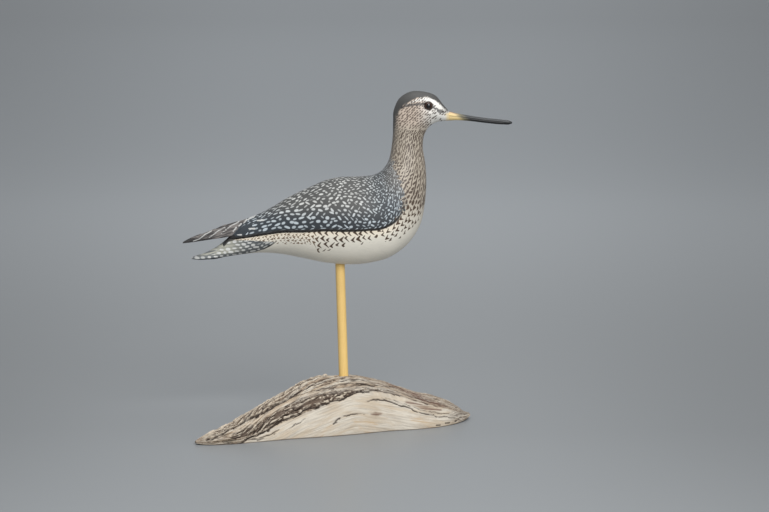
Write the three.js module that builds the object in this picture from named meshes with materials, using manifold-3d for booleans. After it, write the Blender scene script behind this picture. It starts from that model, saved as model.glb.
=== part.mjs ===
// Yellowlegs decoy: a carved and painted shorebird on one dowel leg that stands in a piece of driftwood.
// Millimetres. X is the way the bird faces, Y is to its left and Z is up. The origin is on the flat
// underside of the driftwood, straight below the foot of the leg.

import * as THREE from 'three';
import { mergeVertices } from 'three/addons/utils/BufferGeometryUtils.js';
import loadManifold from 'manifold-3d';

const wasm = await loadManifold();
wasm.setup();

// Fit of one piece in another
const clearance = 0.3;

// The leg: a 3/8 inch dowel that leans back a little
const legDiameter = 9.5;
const legFoot = [-0.1, 0, 51];
const legHip = [-3.6, 0, 166];
const legDepthInBody = 14;
const legDepthInBase = 16;
const legSides = 20;

// The glass eyes, each a ball set into the head
const eyeRadius = 4.0;
const eyeCentre = [84.4, 10.3, 325];

// The bill: its centre line from the face to the tip, then its height and width there
const billGap = 0.3;
const billStations = [
  { centre: [105.4 + billGap, 314.4], height: 9.0, width: 7.0 },
  { centre: [111, 313.8], height: 7.3, width: 5.8 },
  { centre: [124.9, 312.1], height: 5.5, width: 4.6 },
  { centre: [143, 309.7], height: 5.0, width: 4.1 },
  { centre: [159, 308.2], height: 4.6, width: 3.7 },
  { centre: [165.5, 307.8], height: 3.5, width: 2.8 },
  { centre: [167.8, 307.7], height: 1.4, width: 1.2 },
];
const billSides = 12;
const billRings = 12;
const billCrowdAtTip = 1.4;

// Each cross-section of the carving runs from a point on its back to a point on its belly, as [x, z].
// level is the height of the widest place, as a share of the way from belly to back. On the body the
// wing's lower edge lies there, and proud is how far the wing stands out from the flank.
// flare widens the section below that level, and the two squareness values are the powers of the
// lower and upper half, where 2 is an ellipse.
const sectionDefaults = { level: 0.5, flare: 0, lowSquare: 2, highSquare: 2, proud: 0 };
const tailSections = [
  { back: [-152, 172.9], belly: [-151.5, 171.4], halfWidth: 5 },
  { back: [-149.5, 174], belly: [-149.8, 171.4], halfWidth: 9.5, flare: 0.1 },
  { back: [-143, 175.8], belly: [-144, 171.2], halfWidth: 12.6, flare: 0.15, lowSquare: 3 },
  { back: [-134, 179.6], belly: [-136.5, 171.6], halfWidth: 13, flare: 0.22, lowSquare: 4, level: 0.55 },
  { back: [-123, 186.4], belly: [-127.5, 172.2], halfWidth: 11.6, flare: 0.38, lowSquare: 5, level: 0.66 },
  { back: [-112.5, 195.4], belly: [-118.8, 174.2], halfWidth: 10.4, flare: 0.5, lowSquare: 6, level: 0.85 },
];
const bodySections = [
  { back: [-96, 212.3], belly: [-117, 174.5], halfWidth: 11, level: 0.52, flare: 0.42, lowSquare: 6,
    highSquare: 1.75, proud: 2.6 },
  { back: [-84, 217], belly: [-100, 176.8], halfWidth: 15.4, level: 0.46, flare: 0.06, lowSquare: 4,
    highSquare: 1.8, proud: 2.6 },
  { back: [-70, 224.3], belly: [-82, 178], halfWidth: 20.5, level: 0.4, lowSquare: 2.5, highSquare: 1.85,
    proud: 2.4 },
  { back: [-55.6, 233], belly: [-64, 176.8], halfWidth: 25, level: 0.385, proud: 2.2, highSquare: 1.9 },
  { back: [-37, 241.9], belly: [-40, 172.4], halfWidth: 29, level: 0.385, proud: 2.2 },
  { back: [-17, 250.6], belly: [-18, 168], halfWidth: 31.5, level: 0.385, proud: 2.2 },
  { back: [-2, 253.6], belly: [5, 166.1], halfWidth: 33, level: 0.385, proud: 2.2 },
  { back: [15, 254.1], belly: [27, 167.9], halfWidth: 33.4, level: 0.385, proud: 2.2 },
  { back: [29, 255.6], belly: [48, 174.4], halfWidth: 32.6, level: 0.375, proud: 2 },
  { back: [36.8, 259], belly: [65, 187.6], halfWidth: 30.6, level: 0.37, proud: 1.8 },
  { back: [41.2, 263.8], belly: [76.6, 206], halfWidth: 27.2, level: 0.44, proud: 1.3 },
  { back: [44.4, 269], belly: [81.4, 229.5], halfWidth: 23, level: 0.5, proud: 0.5 },
  { back: [46.4, 275], belly: [82.6, 250], halfWidth: 18.6 },
  { back: [48, 284], belly: [81.4, 268], halfWidth: 15.2 },
  { back: [49.2, 296], belly: [79, 284], halfWidth: 13.2 },
  { back: [49.4, 309], belly: [81, 297], halfWidth: 12.8 },
  { back: [50.3, 321], belly: [86.5, 304.6], halfWidth: 13.5 },
  { back: [56, 332.3], belly: [91, 307.4], halfWidth: 14 },
  { back: [66.5, 338.5], belly: [94.4, 308.6], halfWidth: 13.9 },
  { back: [80, 338.6], belly: [97.8, 309.2], halfWidth: 12.6 },
  { back: [91.5, 334.7], belly: [100.8, 309.5], halfWidth: 10 },
  { back: [99.3, 325.6], belly: [103.4, 309.7], halfWidth: 6.6 },
  { back: [105, 319], belly: [105.4, 309.9], halfWidth: 3.7 },
];
const ringsPerSection = 3;
const lowColumns = 8;
const highColumns = 9;
const wingEdgeDrop = 0.7;

// The free wing tips, thin blades that come out from under the longest back feathers. Each station
// gives the height of the upper and lower edge and how far each edge stands from the middle of the bird.
const wingTipStations = [
  { x: -80, top: 214.5, bottom: 199, topOut: 4.4, bottomOut: 11.5 },
  { x: -96, top: 211.6, bottom: 196.8, topOut: 3.6, bottomOut: 10.6 },
  { x: -108, top: 208.2, bottom: 195.4, topOut: 2.8, bottomOut: 9.4 },
  { x: -120, top: 205, bottom: 193.4, topOut: 2.2, bottomOut: 7.8 },
  { x: -131, top: 200.4, bottom: 191.7, topOut: 2.0, bottomOut: 6.2 },
  { x: -142, top: 196.5, bottom: 189.9, topOut: 2.2, bottomOut: 4.9 },
  { x: -153, top: 192.4, bottom: 188.2, topOut: 2.6, bottomOut: 4.0 },
  { x: -160.5, top: 188.9, bottom: 187.3, topOut: 3.0, bottomOut: 3.4 },
];
const wingTipThickness = 2.4;
const wingTipThinEnd = 0.35;
const wingTipTaper = 30;
const wingTipRings = 18;
const wingTipSides = 10;
const wingTipCrowdAtTip = 0.9;
const primaryStep = 1.1;
const primaryTips = [-106, -118, -129, -142];
const primaryStart = -100;

// The driftwood: its long axis is turned to the bird. Stations run along it from the end under the
// tail, with the height of its ridge and how far its front and back foot lie from the axis.
const baseTurn = THREE.MathUtils.degToRad(24);
const baseStations = [
  { along: -168, height: 3.4, front: -29, back: -24, lift: 1.4 },
  { along: -160, height: 7, front: -35, back: -17, lift: 0.6 },
  { along: -140, height: 12.4, front: -40, back: -4, lift: 0 },
  { along: -110, height: 22.4, front: -40, back: 14, lift: 0 },
  { along: -74, height: 36.8, front: -38.5, back: 30, lift: 0 },
  { along: -40, height: 49.8, front: -40.5, back: 38, lift: 0 },
  { along: -3, height: 54.6, front: -40, back: 42, lift: 0 },
  { along: 31, height: 48.6, front: -36.5, back: 41, lift: 0 },
  { along: 70, height: 34.8, front: -38.5, back: 37, lift: 0 },
  { along: 100, height: 25.4, front: -32, back: 30, lift: 0 },
  { along: 121, height: 17.5, front: -20, back: 22, lift: 1 },
  { along: 134, height: 8.2, front: -9, back: 14, lift: 2 },
  { along: 141, height: 5.4, front: -1, back: 8, lift: 3.4 },
];
const baseDomePower = 2.1;
const baseDomeRoot = 0.6;
const baseRings = 44;
const baseCrowdAtEnds = 0.3;
const fullReliefHeight = 20;

// Lines along the grain of the driftwood, from its front foot over the ridge to its back foot. Each runs
// through points [along, across], where across goes from -1 at the front foot to 1 at the back foot.
// A line with a depth is a weathered groove that deepens between the two places in its span.
const grainLines = [
  { route: [[-168, -1], [141, -1]] },
  { route: [[-168, -0.86], [-118, -0.9], [-78, -0.88], [-45, -0.83], [-14, -0.73], [20, -0.56], [60, -0.46],
    [141, -0.5]], depth: 4, span: [-128, 72] },
  { route: [[-168, -0.3], [-98, -0.46], [-72, -0.42], [-45, -0.33], [-20, -0.2], [10, -0.1], [141, -0.12]],
    depth: 3, span: [-150, 14] },
  { route: [[-168, 0.2], [-60, 0.22], [0, 0.34], [60, 0.4], [141, 0.3]], depth: 2.6, span: [-110, 110] },
  { route: [[-168, 0.6], [-40, 0.68], [30, 0.72], [141, 0.68]], depth: 2.2, span: [-90, 95] },
  { route: [[-168, 1], [141, 1]] },
];
const columnsBetweenLines = 4;

// Paint and wood colours
const paint = (color, roughness) => new THREE.MeshStandardMaterial({ color, roughness, metalness: 0 });
const slatePaint = paint(0x50565f, 0.55);
const billPaint = paint(0x34342f, 0.4);
const legPaint = paint(0xe0b465, 0.45);
const eyeGlass = paint(0x2a1408, 0.08);
const weatheredWood = paint(0xb9ab98, 0.85);

// Hermite cubic through rows of numbers at rising knots. The slope at a knot is that of the parabola
// through it and its two neighbours.
function smoothRows(knots, rows, t) {
  const last = knots.length - 1;
  let i = 0;
  while (i < last - 1 && t > knots[i + 1]) i += 1;
  const secant = (k, c) => (rows[k + 1][c] - rows[k][c]) / (knots[k + 1] - knots[k]);
  const slope = (k, c) => {
    if (k === 0) return secant(0, c);
    if (k === last) return secant(last - 1, c);
    const before = knots[k] - knots[k - 1];
    const after = knots[k + 1] - knots[k];
    return (after * secant(k - 1, c) + before * secant(k, c)) / (before + after);
  };
  const span = knots[i + 1] - knots[i];
  const s = (t - knots[i]) / span;
  return rows[i].map((value, c) => {
    const start = value * (1 + 2 * s) * (1 - s) ** 2 + slope(i, c) * span * s * (1 - s) ** 2;
    const end = rows[i + 1][c] * s * s * (3 - 2 * s) - slope(i + 1, c) * span * s * s * (1 - s);
    return start + end;
  });
}

// Closed solid from rings of points, each ring going once round, with a flat end at each side
function loftGeometry(rings) {
  const columns = rings[0].length;
  const points = rings.flat();
  const faces = [];
  for (let i = 0; i + 1 < rings.length; i += 1) {
    for (let j = 0; j < columns; j += 1) {
      const a = i * columns + j;
      const b = i * columns + ((j + 1) % columns);
      faces.push(a, b, b + columns, a, b + columns, a + columns);
    }
  }
  [0, rings.length - 1].forEach((ring) => {
    const centre = points.length;
    const sum = rings[ring].reduce((total, p) => total.add(p), new THREE.Vector3());
    points.push(sum.divideScalar(columns));
    for (let j = 0; j < columns; j += 1) {
      const a = ring * columns + j;
      const b = ring * columns + ((j + 1) % columns);
      faces.push(...(ring === 0 ? [centre, b, a] : [centre, a, b]));
    }
  });
  return outwardGeometry(points, faces);
}

// Geometry from points and faces, turned so that its faces point out
function outwardGeometry(points, faces) {
  let volume = 0;
  for (let f = 0; f < faces.length; f += 3) {
    const [a, b, c] = [points[faces[f]], points[faces[f + 1]], points[faces[f + 2]]];
    volume += a.dot(new THREE.Vector3().crossVectors(b, c));
  }
  const geometry = new THREE.BufferGeometry();
  geometry.setAttribute('position', new THREE.Float32BufferAttribute(points.flatMap((p) => p.toArray()), 3));
  geometry.setIndex(volume < 0 ? faces.toReversed() : faces);
  return geometry;
}

function toSolid(geometry) {
  const bare = geometry.clone();
  bare.deleteAttribute('normal');
  bare.deleteAttribute('uv');
  const welded = mergeVertices(bare, 1e-4);
  return new wasm.Manifold(new wasm.Mesh({
    numProp: 3,
    vertProperties: welded.attributes.position.array,
    triVerts: new Uint32Array(welded.index.array),
  }));
}

function fromSolid(solid) {
  const mesh = solid.getMesh();
  const geometry = new THREE.BufferGeometry();
  geometry.setAttribute('position', new THREE.Float32BufferAttribute(mesh.vertProperties, 3));
  geometry.setIndex(Array.from(mesh.triVerts));
  return geometry;
}

// A dowel between two points, longer or thicker by the amounts given
function dowelGeometry(start, end, diameter, extraStart, extraEnd) {
  const from = new THREE.Vector3(...start);
  const to = new THREE.Vector3(...end);
  const along = to.clone().sub(from).normalize();
  from.addScaledVector(along, -extraStart);
  to.addScaledVector(along, extraEnd);
  const dowel = new THREE.CylinderGeometry(diameter / 2, diameter / 2, from.distanceTo(to), legSides);
  dowel.applyQuaternion(new THREE.Quaternion().setFromUnitVectors(new THREE.Vector3(0, 1, 0), along));
  return dowel.translate(...from.add(to).multiplyScalar(0.5).toArray());
}

// One ring of the carving. It goes from the belly up the right side to the wing's lower edge, over the
// back and down the left side. Below the widest level it is one half of a superellipse, above it the
// other half, which the wing makes wider.
function carvingRing(section) {
  const [backX, backZ, bellyX, bellyZ, halfWidth, level, flare, lowSquare, highSquare] = section;
  const proud = Math.max(0, section[9]);
  const up = new THREE.Vector2(backX - bellyX, backZ - bellyZ);
  const lowHeight = level * up.length();
  const highHeight = (1 - level) * up.length();
  const widest = new THREE.Vector2(bellyX, bellyZ).addScaledVector(up, level);
  up.normalize();
  const place = (side, out, rise) => {
    return new THREE.Vector3(widest.x + up.x * rise, side * out, widest.y + up.y * rise);
  };
  const low = (j) => {
    const angle = (j / lowColumns) * (Math.PI / 2);
    const depth = Math.cos(angle) ** (2 / lowSquare);
    const out = halfWidth * Math.sin(angle) ** (2 / lowSquare) * (1 + flare * depth);
    return { out, rise: -depth * lowHeight };
  };
  const high = (j) => {
    const angle = (j / highColumns) * (Math.PI / 2);
    const climb = Math.sin(angle) ** (2 / highSquare);
    const drop = wingEdgeDrop * Math.min(proud, 1) * (1 - climb);
    return { out: (halfWidth + proud) * Math.cos(angle) ** (2 / highSquare), rise: climb * highHeight - drop };
  };
  const half = [];
  for (let j = 1; j <= lowColumns; j += 1) half.push(low(j));
  for (let j = 0; j < highColumns; j += 1) half.push(high(j));
  const right = half.map(({ out, rise }) => place(-1, out, rise));
  const left = half.map(({ out, rise }) => place(1, out, rise)).reverse();
  return [place(1, 0, -lowHeight), ...right, place(1, 0, highHeight), ...left];
}

// Rings through a run of sections, spaced evenly between each pair
function carvingRings(sections) {
  const rows = sections.map((given) => {
    const s = { ...sectionDefaults, ...given };
    return [...s.back, ...s.belly, s.halfWidth, s.level, s.flare, s.lowSquare, s.highSquare, s.proud];
  });
  const middles = rows.map((r) => [(r[0] + r[2]) / 2, (r[1] + r[3]) / 2]);
  const knots = [0];
  for (let i = 1; i < middles.length; i += 1) {
    knots.push(knots[i - 1] + Math.hypot(middles[i][0] - middles[i - 1][0], middles[i][1] - middles[i - 1][1]));
  }
  const rings = [];
  for (let i = 0; i + 1 < knots.length; i += 1) {
    for (let k = 0; k < ringsPerSection; k += 1) {
      rings.push(smoothRows(knots, rows, knots[i] + ((knots[i + 1] - knots[i]) * k) / ringsPerSection));
    }
  }
  rings.push(rows.at(-1));
  return rings.map(carvingRing);
}

// A free wing tip: a leaf-shaped blade that leans in towards its twin, with a step in its upper edge
// at the end of each flight feather
function wingTipGeometry(side) {
  const knots = wingTipStations.map((s) => -s.x);
  const rows = wingTipStations.map((s) => [s.top, s.bottom, s.topOut, s.bottomOut]);
  const rings = [];
  for (let i = 0; i <= wingTipRings; i += 1) {
    const back = knots[0] + (knots.at(-1) - knots[0]) * (i / wingTipRings) ** wingTipCrowdAtTip;
    const [top, bottom, topOut, bottomOut] = smoothRows(knots, rows, back);
    const passed = primaryTips.filter((tip) => back > -tip).length;
    const start = passed ? -primaryTips[passed - 1] : knots[0];
    const end = passed < primaryTips.length ? -primaryTips[passed] : knots.at(-1);
    const free = back > -primaryStart ? 1 : 0;
    const taper = Math.min(1, (knots.at(-1) - back) / wingTipTaper);
    const step = free * primaryStep * (0.5 - (back - start) / (end - start)) * (1 - taper / 2);
    const halfThick = (wingTipThickness / 2) * (wingTipThinEnd + (1 - wingTipThinEnd) * taper);
    const ring = [];
    for (let j = 0; j < wingTipSides; j += 1) {
      const angle = (j / wingTipSides) * 2 * Math.PI;
      const rise = (1 - Math.cos(angle)) / 2;
      const out = bottomOut + (topOut - bottomOut) * rise + halfThick * Math.sin(angle);
      ring.push(new THREE.Vector3(-back, side * out, bottom + (top + step - bottom) * rise));
    }
    rings.push(ring);
  }
  return loftGeometry(rings);
}

function eyeGeometry(side, extra) {
  const [x, out, z] = eyeCentre;
  return new THREE.IcosahedronGeometry(eyeRadius + extra, 2).translate(x, side * out, z);
}

function bodyGeometry() {
  let solid = toSolid(loftGeometry([...carvingRings(tailSections), ...carvingRings(bodySections)]));
  [-1, 1].forEach((side) => { solid = solid.add(toSolid(wingTipGeometry(side))); });
  [-1, 1].forEach((side) => { solid = solid.subtract(toSolid(eyeGeometry(side, clearance))); });
  const socket = dowelGeometry(legFoot, legHip, legDiameter + 2 * clearance, 0, legDepthInBody + clearance);
  return fromSolid(solid.subtract(toSolid(socket)));
}

function billGeometry() {
  const knots = billStations.map((s) => s.centre[0]);
  const rows = billStations.map((s) => [s.centre[0], s.centre[1], s.height, s.width]);
  const rings = [];
  for (let i = 0; i <= billRings; i += 1) {
    const reach = knots[0] + (knots.at(-1) - knots[0]) * (1 - (1 - i / billRings) ** billCrowdAtTip);
    const [x, z, height, width] = smoothRows(knots, rows, reach);
    const ring = [];
    for (let j = 0; j < billSides; j += 1) {
      const angle = (j / billSides) * 2 * Math.PI;
      ring.push(new THREE.Vector3(x, (width / 2) * Math.sin(angle), z - (height / 2) * Math.cos(angle)));
    }
    rings.push(ring);
  }
  return loftGeometry(rings);
}

// Value of a route [[along, value], ...] at a place along the driftwood
function valueAlong(route, along) {
  return smoothRows(route.map((p) => p[0]), route.map((p) => [p[1]]), along)[0];
}

// Share of a groove's depth at a place along it: nothing outside its span, all of it in the middle
function grooveShare({ depth, span }, along) {
  if (!depth || along <= span[0] || along >= span[1]) return 0;
  return depth * Math.sin((Math.PI * (along - span[0])) / (span[1] - span[0])) ** 0.5;
}

// One ring of the driftwood: from the front foot over the ridge to the back foot, sunk at each groove
function driftwoodRing(along, height, front, back, lift) {
  const ring = [];
  const place = (across, sunk) => {
    const dome = Math.max(0, 1 - Math.abs(across) ** baseDomePower) ** baseDomeRoot;
    const foot = (front + back) / 2 + (across * (back - front)) / 2;
    const relief = sunk * Math.min(1, height / fullReliefHeight);
    ring.push(new THREE.Vector3(along, foot, Math.max(lift, lift + (height - lift) * dome - relief)));
  };
  for (let line = 0; line + 1 < grainLines.length; line += 1) {
    const from = valueAlong(grainLines[line].route, along);
    const to = valueAlong(grainLines[line + 1].route, along);
    for (let k = 0; k < columnsBetweenLines; k += 1) {
      const across = from + ((to - from) * k) / columnsBetweenLines;
      place(across, k === 0 ? grooveShare(grainLines[line], along) : 0);
    }
  }
  place(1, 0);
  return ring;
}

function driftwoodGeometry() {
  const knots = baseStations.map((s) => s.along);
  const rows = baseStations.map((s) => [s.height, s.front, s.back, s.lift]);
  const rings = [];
  for (let i = 0; i <= baseRings; i += 1) {
    const even = i / baseRings;
    const crowded = (1 - Math.cos(Math.PI * even)) / 2;
    const share = even + (crowded - even) * baseCrowdAtEnds;
    const along = knots[0] + (knots.at(-1) - knots[0]) * share;
    rings.push(driftwoodRing(along, ...smoothRows(knots, rows, along)));
  }
  return loftGeometry(rings).rotateZ(baseTurn);
}

function baseGeometry() {
  const socket = dowelGeometry(legFoot, legHip, legDiameter + 2 * clearance, legDepthInBase + clearance, 0);
  return fromSolid(toSolid(driftwoodGeometry()).subtract(toSolid(socket)));
}

function named(name, geometry, material) {
  const mesh = new THREE.Mesh(geometry, material);
  mesh.name = name;
  return mesh;
}

const group = new THREE.Group();
group.name = 'yellowlegs_decoy';
group.add(named('body', bodyGeometry(), slatePaint));
group.add(named('bill', billGeometry(), billPaint));
group.add(named('eye_right', eyeGeometry(-1, 0), eyeGlass));
group.add(named('eye_left', eyeGeometry(1, 0), eyeGlass));
group.add(named('leg', dowelGeometry(legFoot, legHip, legDiameter, legDepthInBase, legDepthInBody), legPaint));
group.add(named('base', baseGeometry(), weatheredWood));

export default group;
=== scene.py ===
"""Looks of the yellowlegs decoy: a carved and painted shorebird on a dowel leg in driftwood.

Lengths are millimetres in the part's own frame: X the way the bird faces, Y its left side, Z up.
They become metres when a mesh is made.
"""

import functools
import logging
import math
from dataclasses import dataclass
from enum import Enum

import bpy
import numpy as np
from bpy.types import Material, Mesh, Node, NodeSocket, NodeTree, Object
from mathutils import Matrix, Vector


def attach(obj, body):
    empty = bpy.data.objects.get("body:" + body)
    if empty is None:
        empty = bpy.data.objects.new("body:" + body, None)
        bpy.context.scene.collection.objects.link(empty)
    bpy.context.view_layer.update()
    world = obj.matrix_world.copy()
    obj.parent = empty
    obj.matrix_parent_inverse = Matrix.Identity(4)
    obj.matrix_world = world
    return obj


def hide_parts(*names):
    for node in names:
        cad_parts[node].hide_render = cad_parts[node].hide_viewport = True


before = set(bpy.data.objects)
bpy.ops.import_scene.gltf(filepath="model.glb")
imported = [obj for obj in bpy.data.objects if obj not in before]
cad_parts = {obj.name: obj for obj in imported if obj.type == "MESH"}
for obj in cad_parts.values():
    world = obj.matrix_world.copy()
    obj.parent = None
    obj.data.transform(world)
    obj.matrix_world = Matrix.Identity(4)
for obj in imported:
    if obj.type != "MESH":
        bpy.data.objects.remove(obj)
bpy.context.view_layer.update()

log = logging.getLogger("decoy")

Array = np.ndarray
Pair = tuple[float, float]
Triple = tuple[float, float, float]
Colour = tuple[float, float, float, float]
Route = tuple[tuple[float, ...], ...]
Value = NodeSocket | float | tuple

# One millimetre in metres, and a distance beyond all of the part in millimetres.
MM = 0.001
FAR = 1e3

# Numbers along each side of a random table, and how many plates a row is shifted by at most.
TABLE_SIZE = 256
PLATE_SHIFT = 9


class Side(Enum):
    """A side of the bird, as the sign of Y there."""

    RIGHT = -1
    LEFT = 1


class Finish(Enum):
    """The record's material slots."""

    PAINTED_WOOD = "painted_wood"
    BILL_PAINT = "bill_paint"
    GLASS_EYE = "glass_eye"
    LEG_PAINT = "leg_paint"
    DRIFTWOOD = "driftwood"


# Numbers and surfaces


def smooth_rows(knots: Array, rows: Array, places: Array) -> Array:
    """Hermite cubic through rows of numbers; the slope at a knot is that of the parabola through it
    and its two neighbours.

    Args:
        knots: rising places of the rows.
        rows: one row of numbers for each knot.
        places: where the cubic is read.

    Returns:
        One row for each place.
    """
    gaps = np.diff(knots)
    secants = np.diff(rows, axis=0) / gaps[:, None]
    slopes = np.empty_like(rows)
    slopes[0], slopes[-1] = secants[0], secants[-1]
    before, after = gaps[:-1, None], gaps[1:, None]
    slopes[1:-1] = (after * secants[:-1] + before * secants[1:]) / (before + after)
    i = np.clip(np.searchsorted(knots, places) - 1, 0, len(knots) - 2)
    span = gaps[i][:, None]
    s = (places[:, None] - knots[i][:, None]) / span
    start = rows[i] * (1 + 2 * s) * (1 - s) ** 2 + slopes[i] * span * s * (1 - s) ** 2
    return start + rows[i + 1] * s**2 * (3 - 2 * s) - slopes[i + 1] * span * s**2 * (1 - s)


def along_route(route: Route, places: Array) -> Array:
    """Values of a smooth route at any array of places.

    Args:
        route: ((place, value), ...) with rising places.
        places: where the route is read; past its ends it keeps its last value.

    Returns:
        The values, in the shape of the places.
    """
    knots, values = np.array(route, float).T
    inside = np.clip(places.ravel(), knots[0], knots[-1])
    return smooth_rows(knots, values[:, None], inside)[:, 0].reshape(places.shape)


def straight(route: Route, places: Array) -> Array:
    """Values of a route ((place, value), ...) with straight stretches."""
    knots, values = np.array(route, float).T
    return np.interp(places, knots, values)


def cell_count(spacing: Route, places: Array) -> Array:
    """Number of cells passed up to each place.

    It is the integral of one over the cell length.

    Args:
        spacing: ((place, cell length there), ...).
        places: where the count is read.

    Returns:
        The counts, in the shape of the places.
    """
    margin, samples = 60, 2001
    fine = np.linspace(spacing[0][0] - margin, spacing[-1][0] + margin, samples)
    per_cell = 1 / straight(spacing, fine)
    passed = np.concatenate([[0], np.cumsum((per_cell[1:] + per_cell[:-1]) / 2 * np.diff(fine))])
    return np.interp(places, fine, passed)


def ramp(values: Array, low: float, high: float) -> Array:
    """Smooth step from 0 at low to 1 at high."""
    t = np.clip((values - low) / (high - low), 0, 1)
    return t * t * (3 - 2 * t)


def stroke(x: Array, z: Array, route: Route) -> Array:
    """Signed distance into a brush stroke, positive inside.

    For each stretch of the route the distance is the half width there less the distance to the
    stretch, and the stroke takes the largest.

    Args:
        x: first coordinate of the points.
        z: second coordinate of the points.
        route: (x, z, half width) of each point that the stroke passes.

    Returns:
        The distances, in the shape of the points.
    """
    best = np.full(np.broadcast(x, z).shape, -FAR)
    for (x0, z0, w0), (x1, z1, w1) in zip(route, route[1:]):
        dx, dz = x1 - x0, z1 - z0
        t = np.clip(((x - x0) * dx + (z - z0) * dz) / (dx * dx + dz * dz), 0, 1)
        best = np.maximum(best, w0 + (w1 - w0) * t - np.hypot(x - x0 - t * dx, z - z0 - t * dz))
    return best


def strokes(x: Array, z: Array, routes: tuple[Route, ...]) -> Array:
    """Signed distance into the nearest of several strokes."""
    return np.maximum.reduce([stroke(x, z, route) for route in routes])


def patch(x: Array, z: Array, corners: Route) -> Array:
    """Signed distance into a patch with straight sides, positive inside.

    The size is the distance to the nearest side, and the sign comes from how many sides a line
    upwards from the point crosses.

    Args:
        x: first coordinate of the points.
        z: second coordinate of the points.
        corners: (x, z) of each corner in turn.

    Returns:
        The distances, in the shape of the points.
    """
    nearest = np.full(np.broadcast(x, z).shape, FAR)
    inside = np.zeros(nearest.shape, bool)
    for (x0, z0), (x1, z1) in zip(corners, corners[1:] + corners[:1]):
        dx, dz = x1 - x0, z1 - z0
        t = np.clip(((x - x0) * dx + (z - z0) * dz) / (dx * dx + dz * dz), 0, 1)
        nearest = np.minimum(nearest, np.hypot(x - x0 - t * dx, z - z0 - t * dz))
        if dx:
            inside ^= ((x0 > x) != (x1 > x)) & (z < z0 + (x - x0) * dz / dx)
    return np.where(inside, nearest, -nearest)


def random_table(seed: int) -> Array:
    """Random numbers from -1 to 1 in a square table, the same ones for the same seed."""
    return np.random.default_rng(seed).uniform(-1, 1, (TABLE_SIZE, TABLE_SIZE))


def value_noise(u: Array, v: Array, seed: int) -> Array:
    """Random heights on a lattice of whole numbers, blended with a cubic step.

    Args:
        u: first coordinate of the points.
        v: second coordinate of the points.
        seed: which random table is used.

    Returns:
        Heights from -1 to 1.
    """
    table = random_table(seed)
    i, j = np.floor(u).astype(int), np.floor(v).astype(int)
    s, t = u - i, v - j
    s, t = s * s * (3 - 2 * s), t * t * (3 - 2 * t)
    i, j, next_i, next_j = (k % TABLE_SIZE for k in (i, j, i + 1, j + 1))
    low = table[i, j] * (1 - s) + table[next_i, j] * s
    high = table[i, next_j] * (1 - s) + table[next_i, next_j] * s
    return low * (1 - t) + high * t


def layered_noise(u: Array, v: Array, seed: int, layers: int = 4) -> Array:
    """Sum of value noise, each layer half as high and twice as fine as the one before."""
    total = sum(0.5**k * value_noise(u * 2**k, v * 2**k, seed + k) for k in range(layers))
    return total / (2 - 0.5 ** (layers - 1))


def plates(u: Array, v: Array, seed: int) -> tuple[Array, Array]:
    """Plates laid like bricks: a row for each whole v, broken along u at places of its own.

    Args:
        u: place along the row, in plates.
        v: place across the rows, in rows.
        seed: which random table is used.

    Returns:
        Each plate's own random height from -1 to 1, and the distance to its nearest end, 0 to 0.5.
    """
    table = random_table(seed)
    row = np.floor(v).astype(int) % TABLE_SIZE
    shifted = u + PLATE_SHIFT * table[row, 0]
    share = shifted % 1
    return table[row, np.floor(shifted).astype(int) % TABLE_SIZE], np.minimum(share, 1 - share)


def blurred(values: Array, reach: int) -> Array:
    """Running mean over a square of cells, by differences of running sums.

    Args:
        values: a grid of numbers.
        reach: how many cells to each side the mean takes in.

    Returns:
        The means, in the same shape.
    """
    for axis in (0, 1):
        ends = [(reach + 1, reach) if k == axis else (0, 0) for k in (0, 1)]
        total = np.cumsum(np.pad(values, ends, mode="edge"), axis=axis)
        count = values.shape[axis]
        upper = np.take(total, np.arange(count) + 2 * reach + 1, axis=axis)
        values = (upper - np.take(total, np.arange(count), axis=axis)) / (2 * reach + 1)
    return values


def even_rows(lengths: Array, targets: Array, values: Array) -> Array:
    """Reads each row's polyline at given distances along it.

    All rows are laid end to end on one line, each in a stretch of its own, so that one linear
    interpolation serves them all.

    Args:
        lengths: distance along the row at each of its points, shape (rows, points).
        targets: distances to read at, shape (rows, wanted).
        values: what is read, shape (rows, points).

    Returns:
        The values at the targets, shape (rows, wanted).
    """
    stretch = lengths.max() + 1
    offset = stretch * np.arange(len(lengths))[:, None]
    flat = np.interp((targets + offset).ravel(), (lengths + offset).ravel(), values.ravel())
    return flat.reshape(targets.shape)


def closed_loft(points: Array) -> tuple[Array, list[Array]]:
    """Vertices and faces of a tube of rings, closed at both ends by a fan to the ring's centre.

    Args:
        points: shape (rings, columns, 3), each ring going once round.

    Returns:
        The vertices with the two centres last, and the arrays of quads and triangles.
    """
    rings, columns = points.shape[:2]
    i, j = np.meshgrid(np.arange(rings - 1), np.arange(columns), indexing="ij")
    a, b = i * columns + j, i * columns + (j + 1) % columns
    quads = np.stack([a, b, b + columns, a + columns], -1).reshape(-1, 4)
    first, last = rings * columns, rings * columns + 1
    around = np.arange(columns)
    onward = (around + 1) % columns
    end = (rings - 1) * columns
    fans = np.concatenate([
        np.stack([np.full(columns, first), onward, around], -1),
        np.stack([np.full(columns, last), end + around, end + onward], -1),
    ])
    vertices = np.concatenate([points.reshape(-1, 3), points[[0, -1]].mean(axis=1)])
    return vertices, outward(vertices, [quads, fans])


def outward(vertices: Array, faces: list[Array]) -> list[Array]:
    """Turns the faces over if the volume that they enclose comes out negative.

    Args:
        vertices: places of the corners.
        faces: arrays of triangles and of quads.

    Returns:
        The same arrays, facing outwards.
    """
    corners = [vertices[part[:, [0, 1, 2]]] for part in faces]
    corners += [vertices[part[:, [0, 2, 3]]] for part in faces if part.shape[1] == 4]
    volume = sum(np.einsum("ij,ij->", c[:, 0], np.cross(c[:, 1], c[:, 2])) for c in corners)
    return [part[:, ::-1] for part in faces] if volume < 0 else faces


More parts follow.
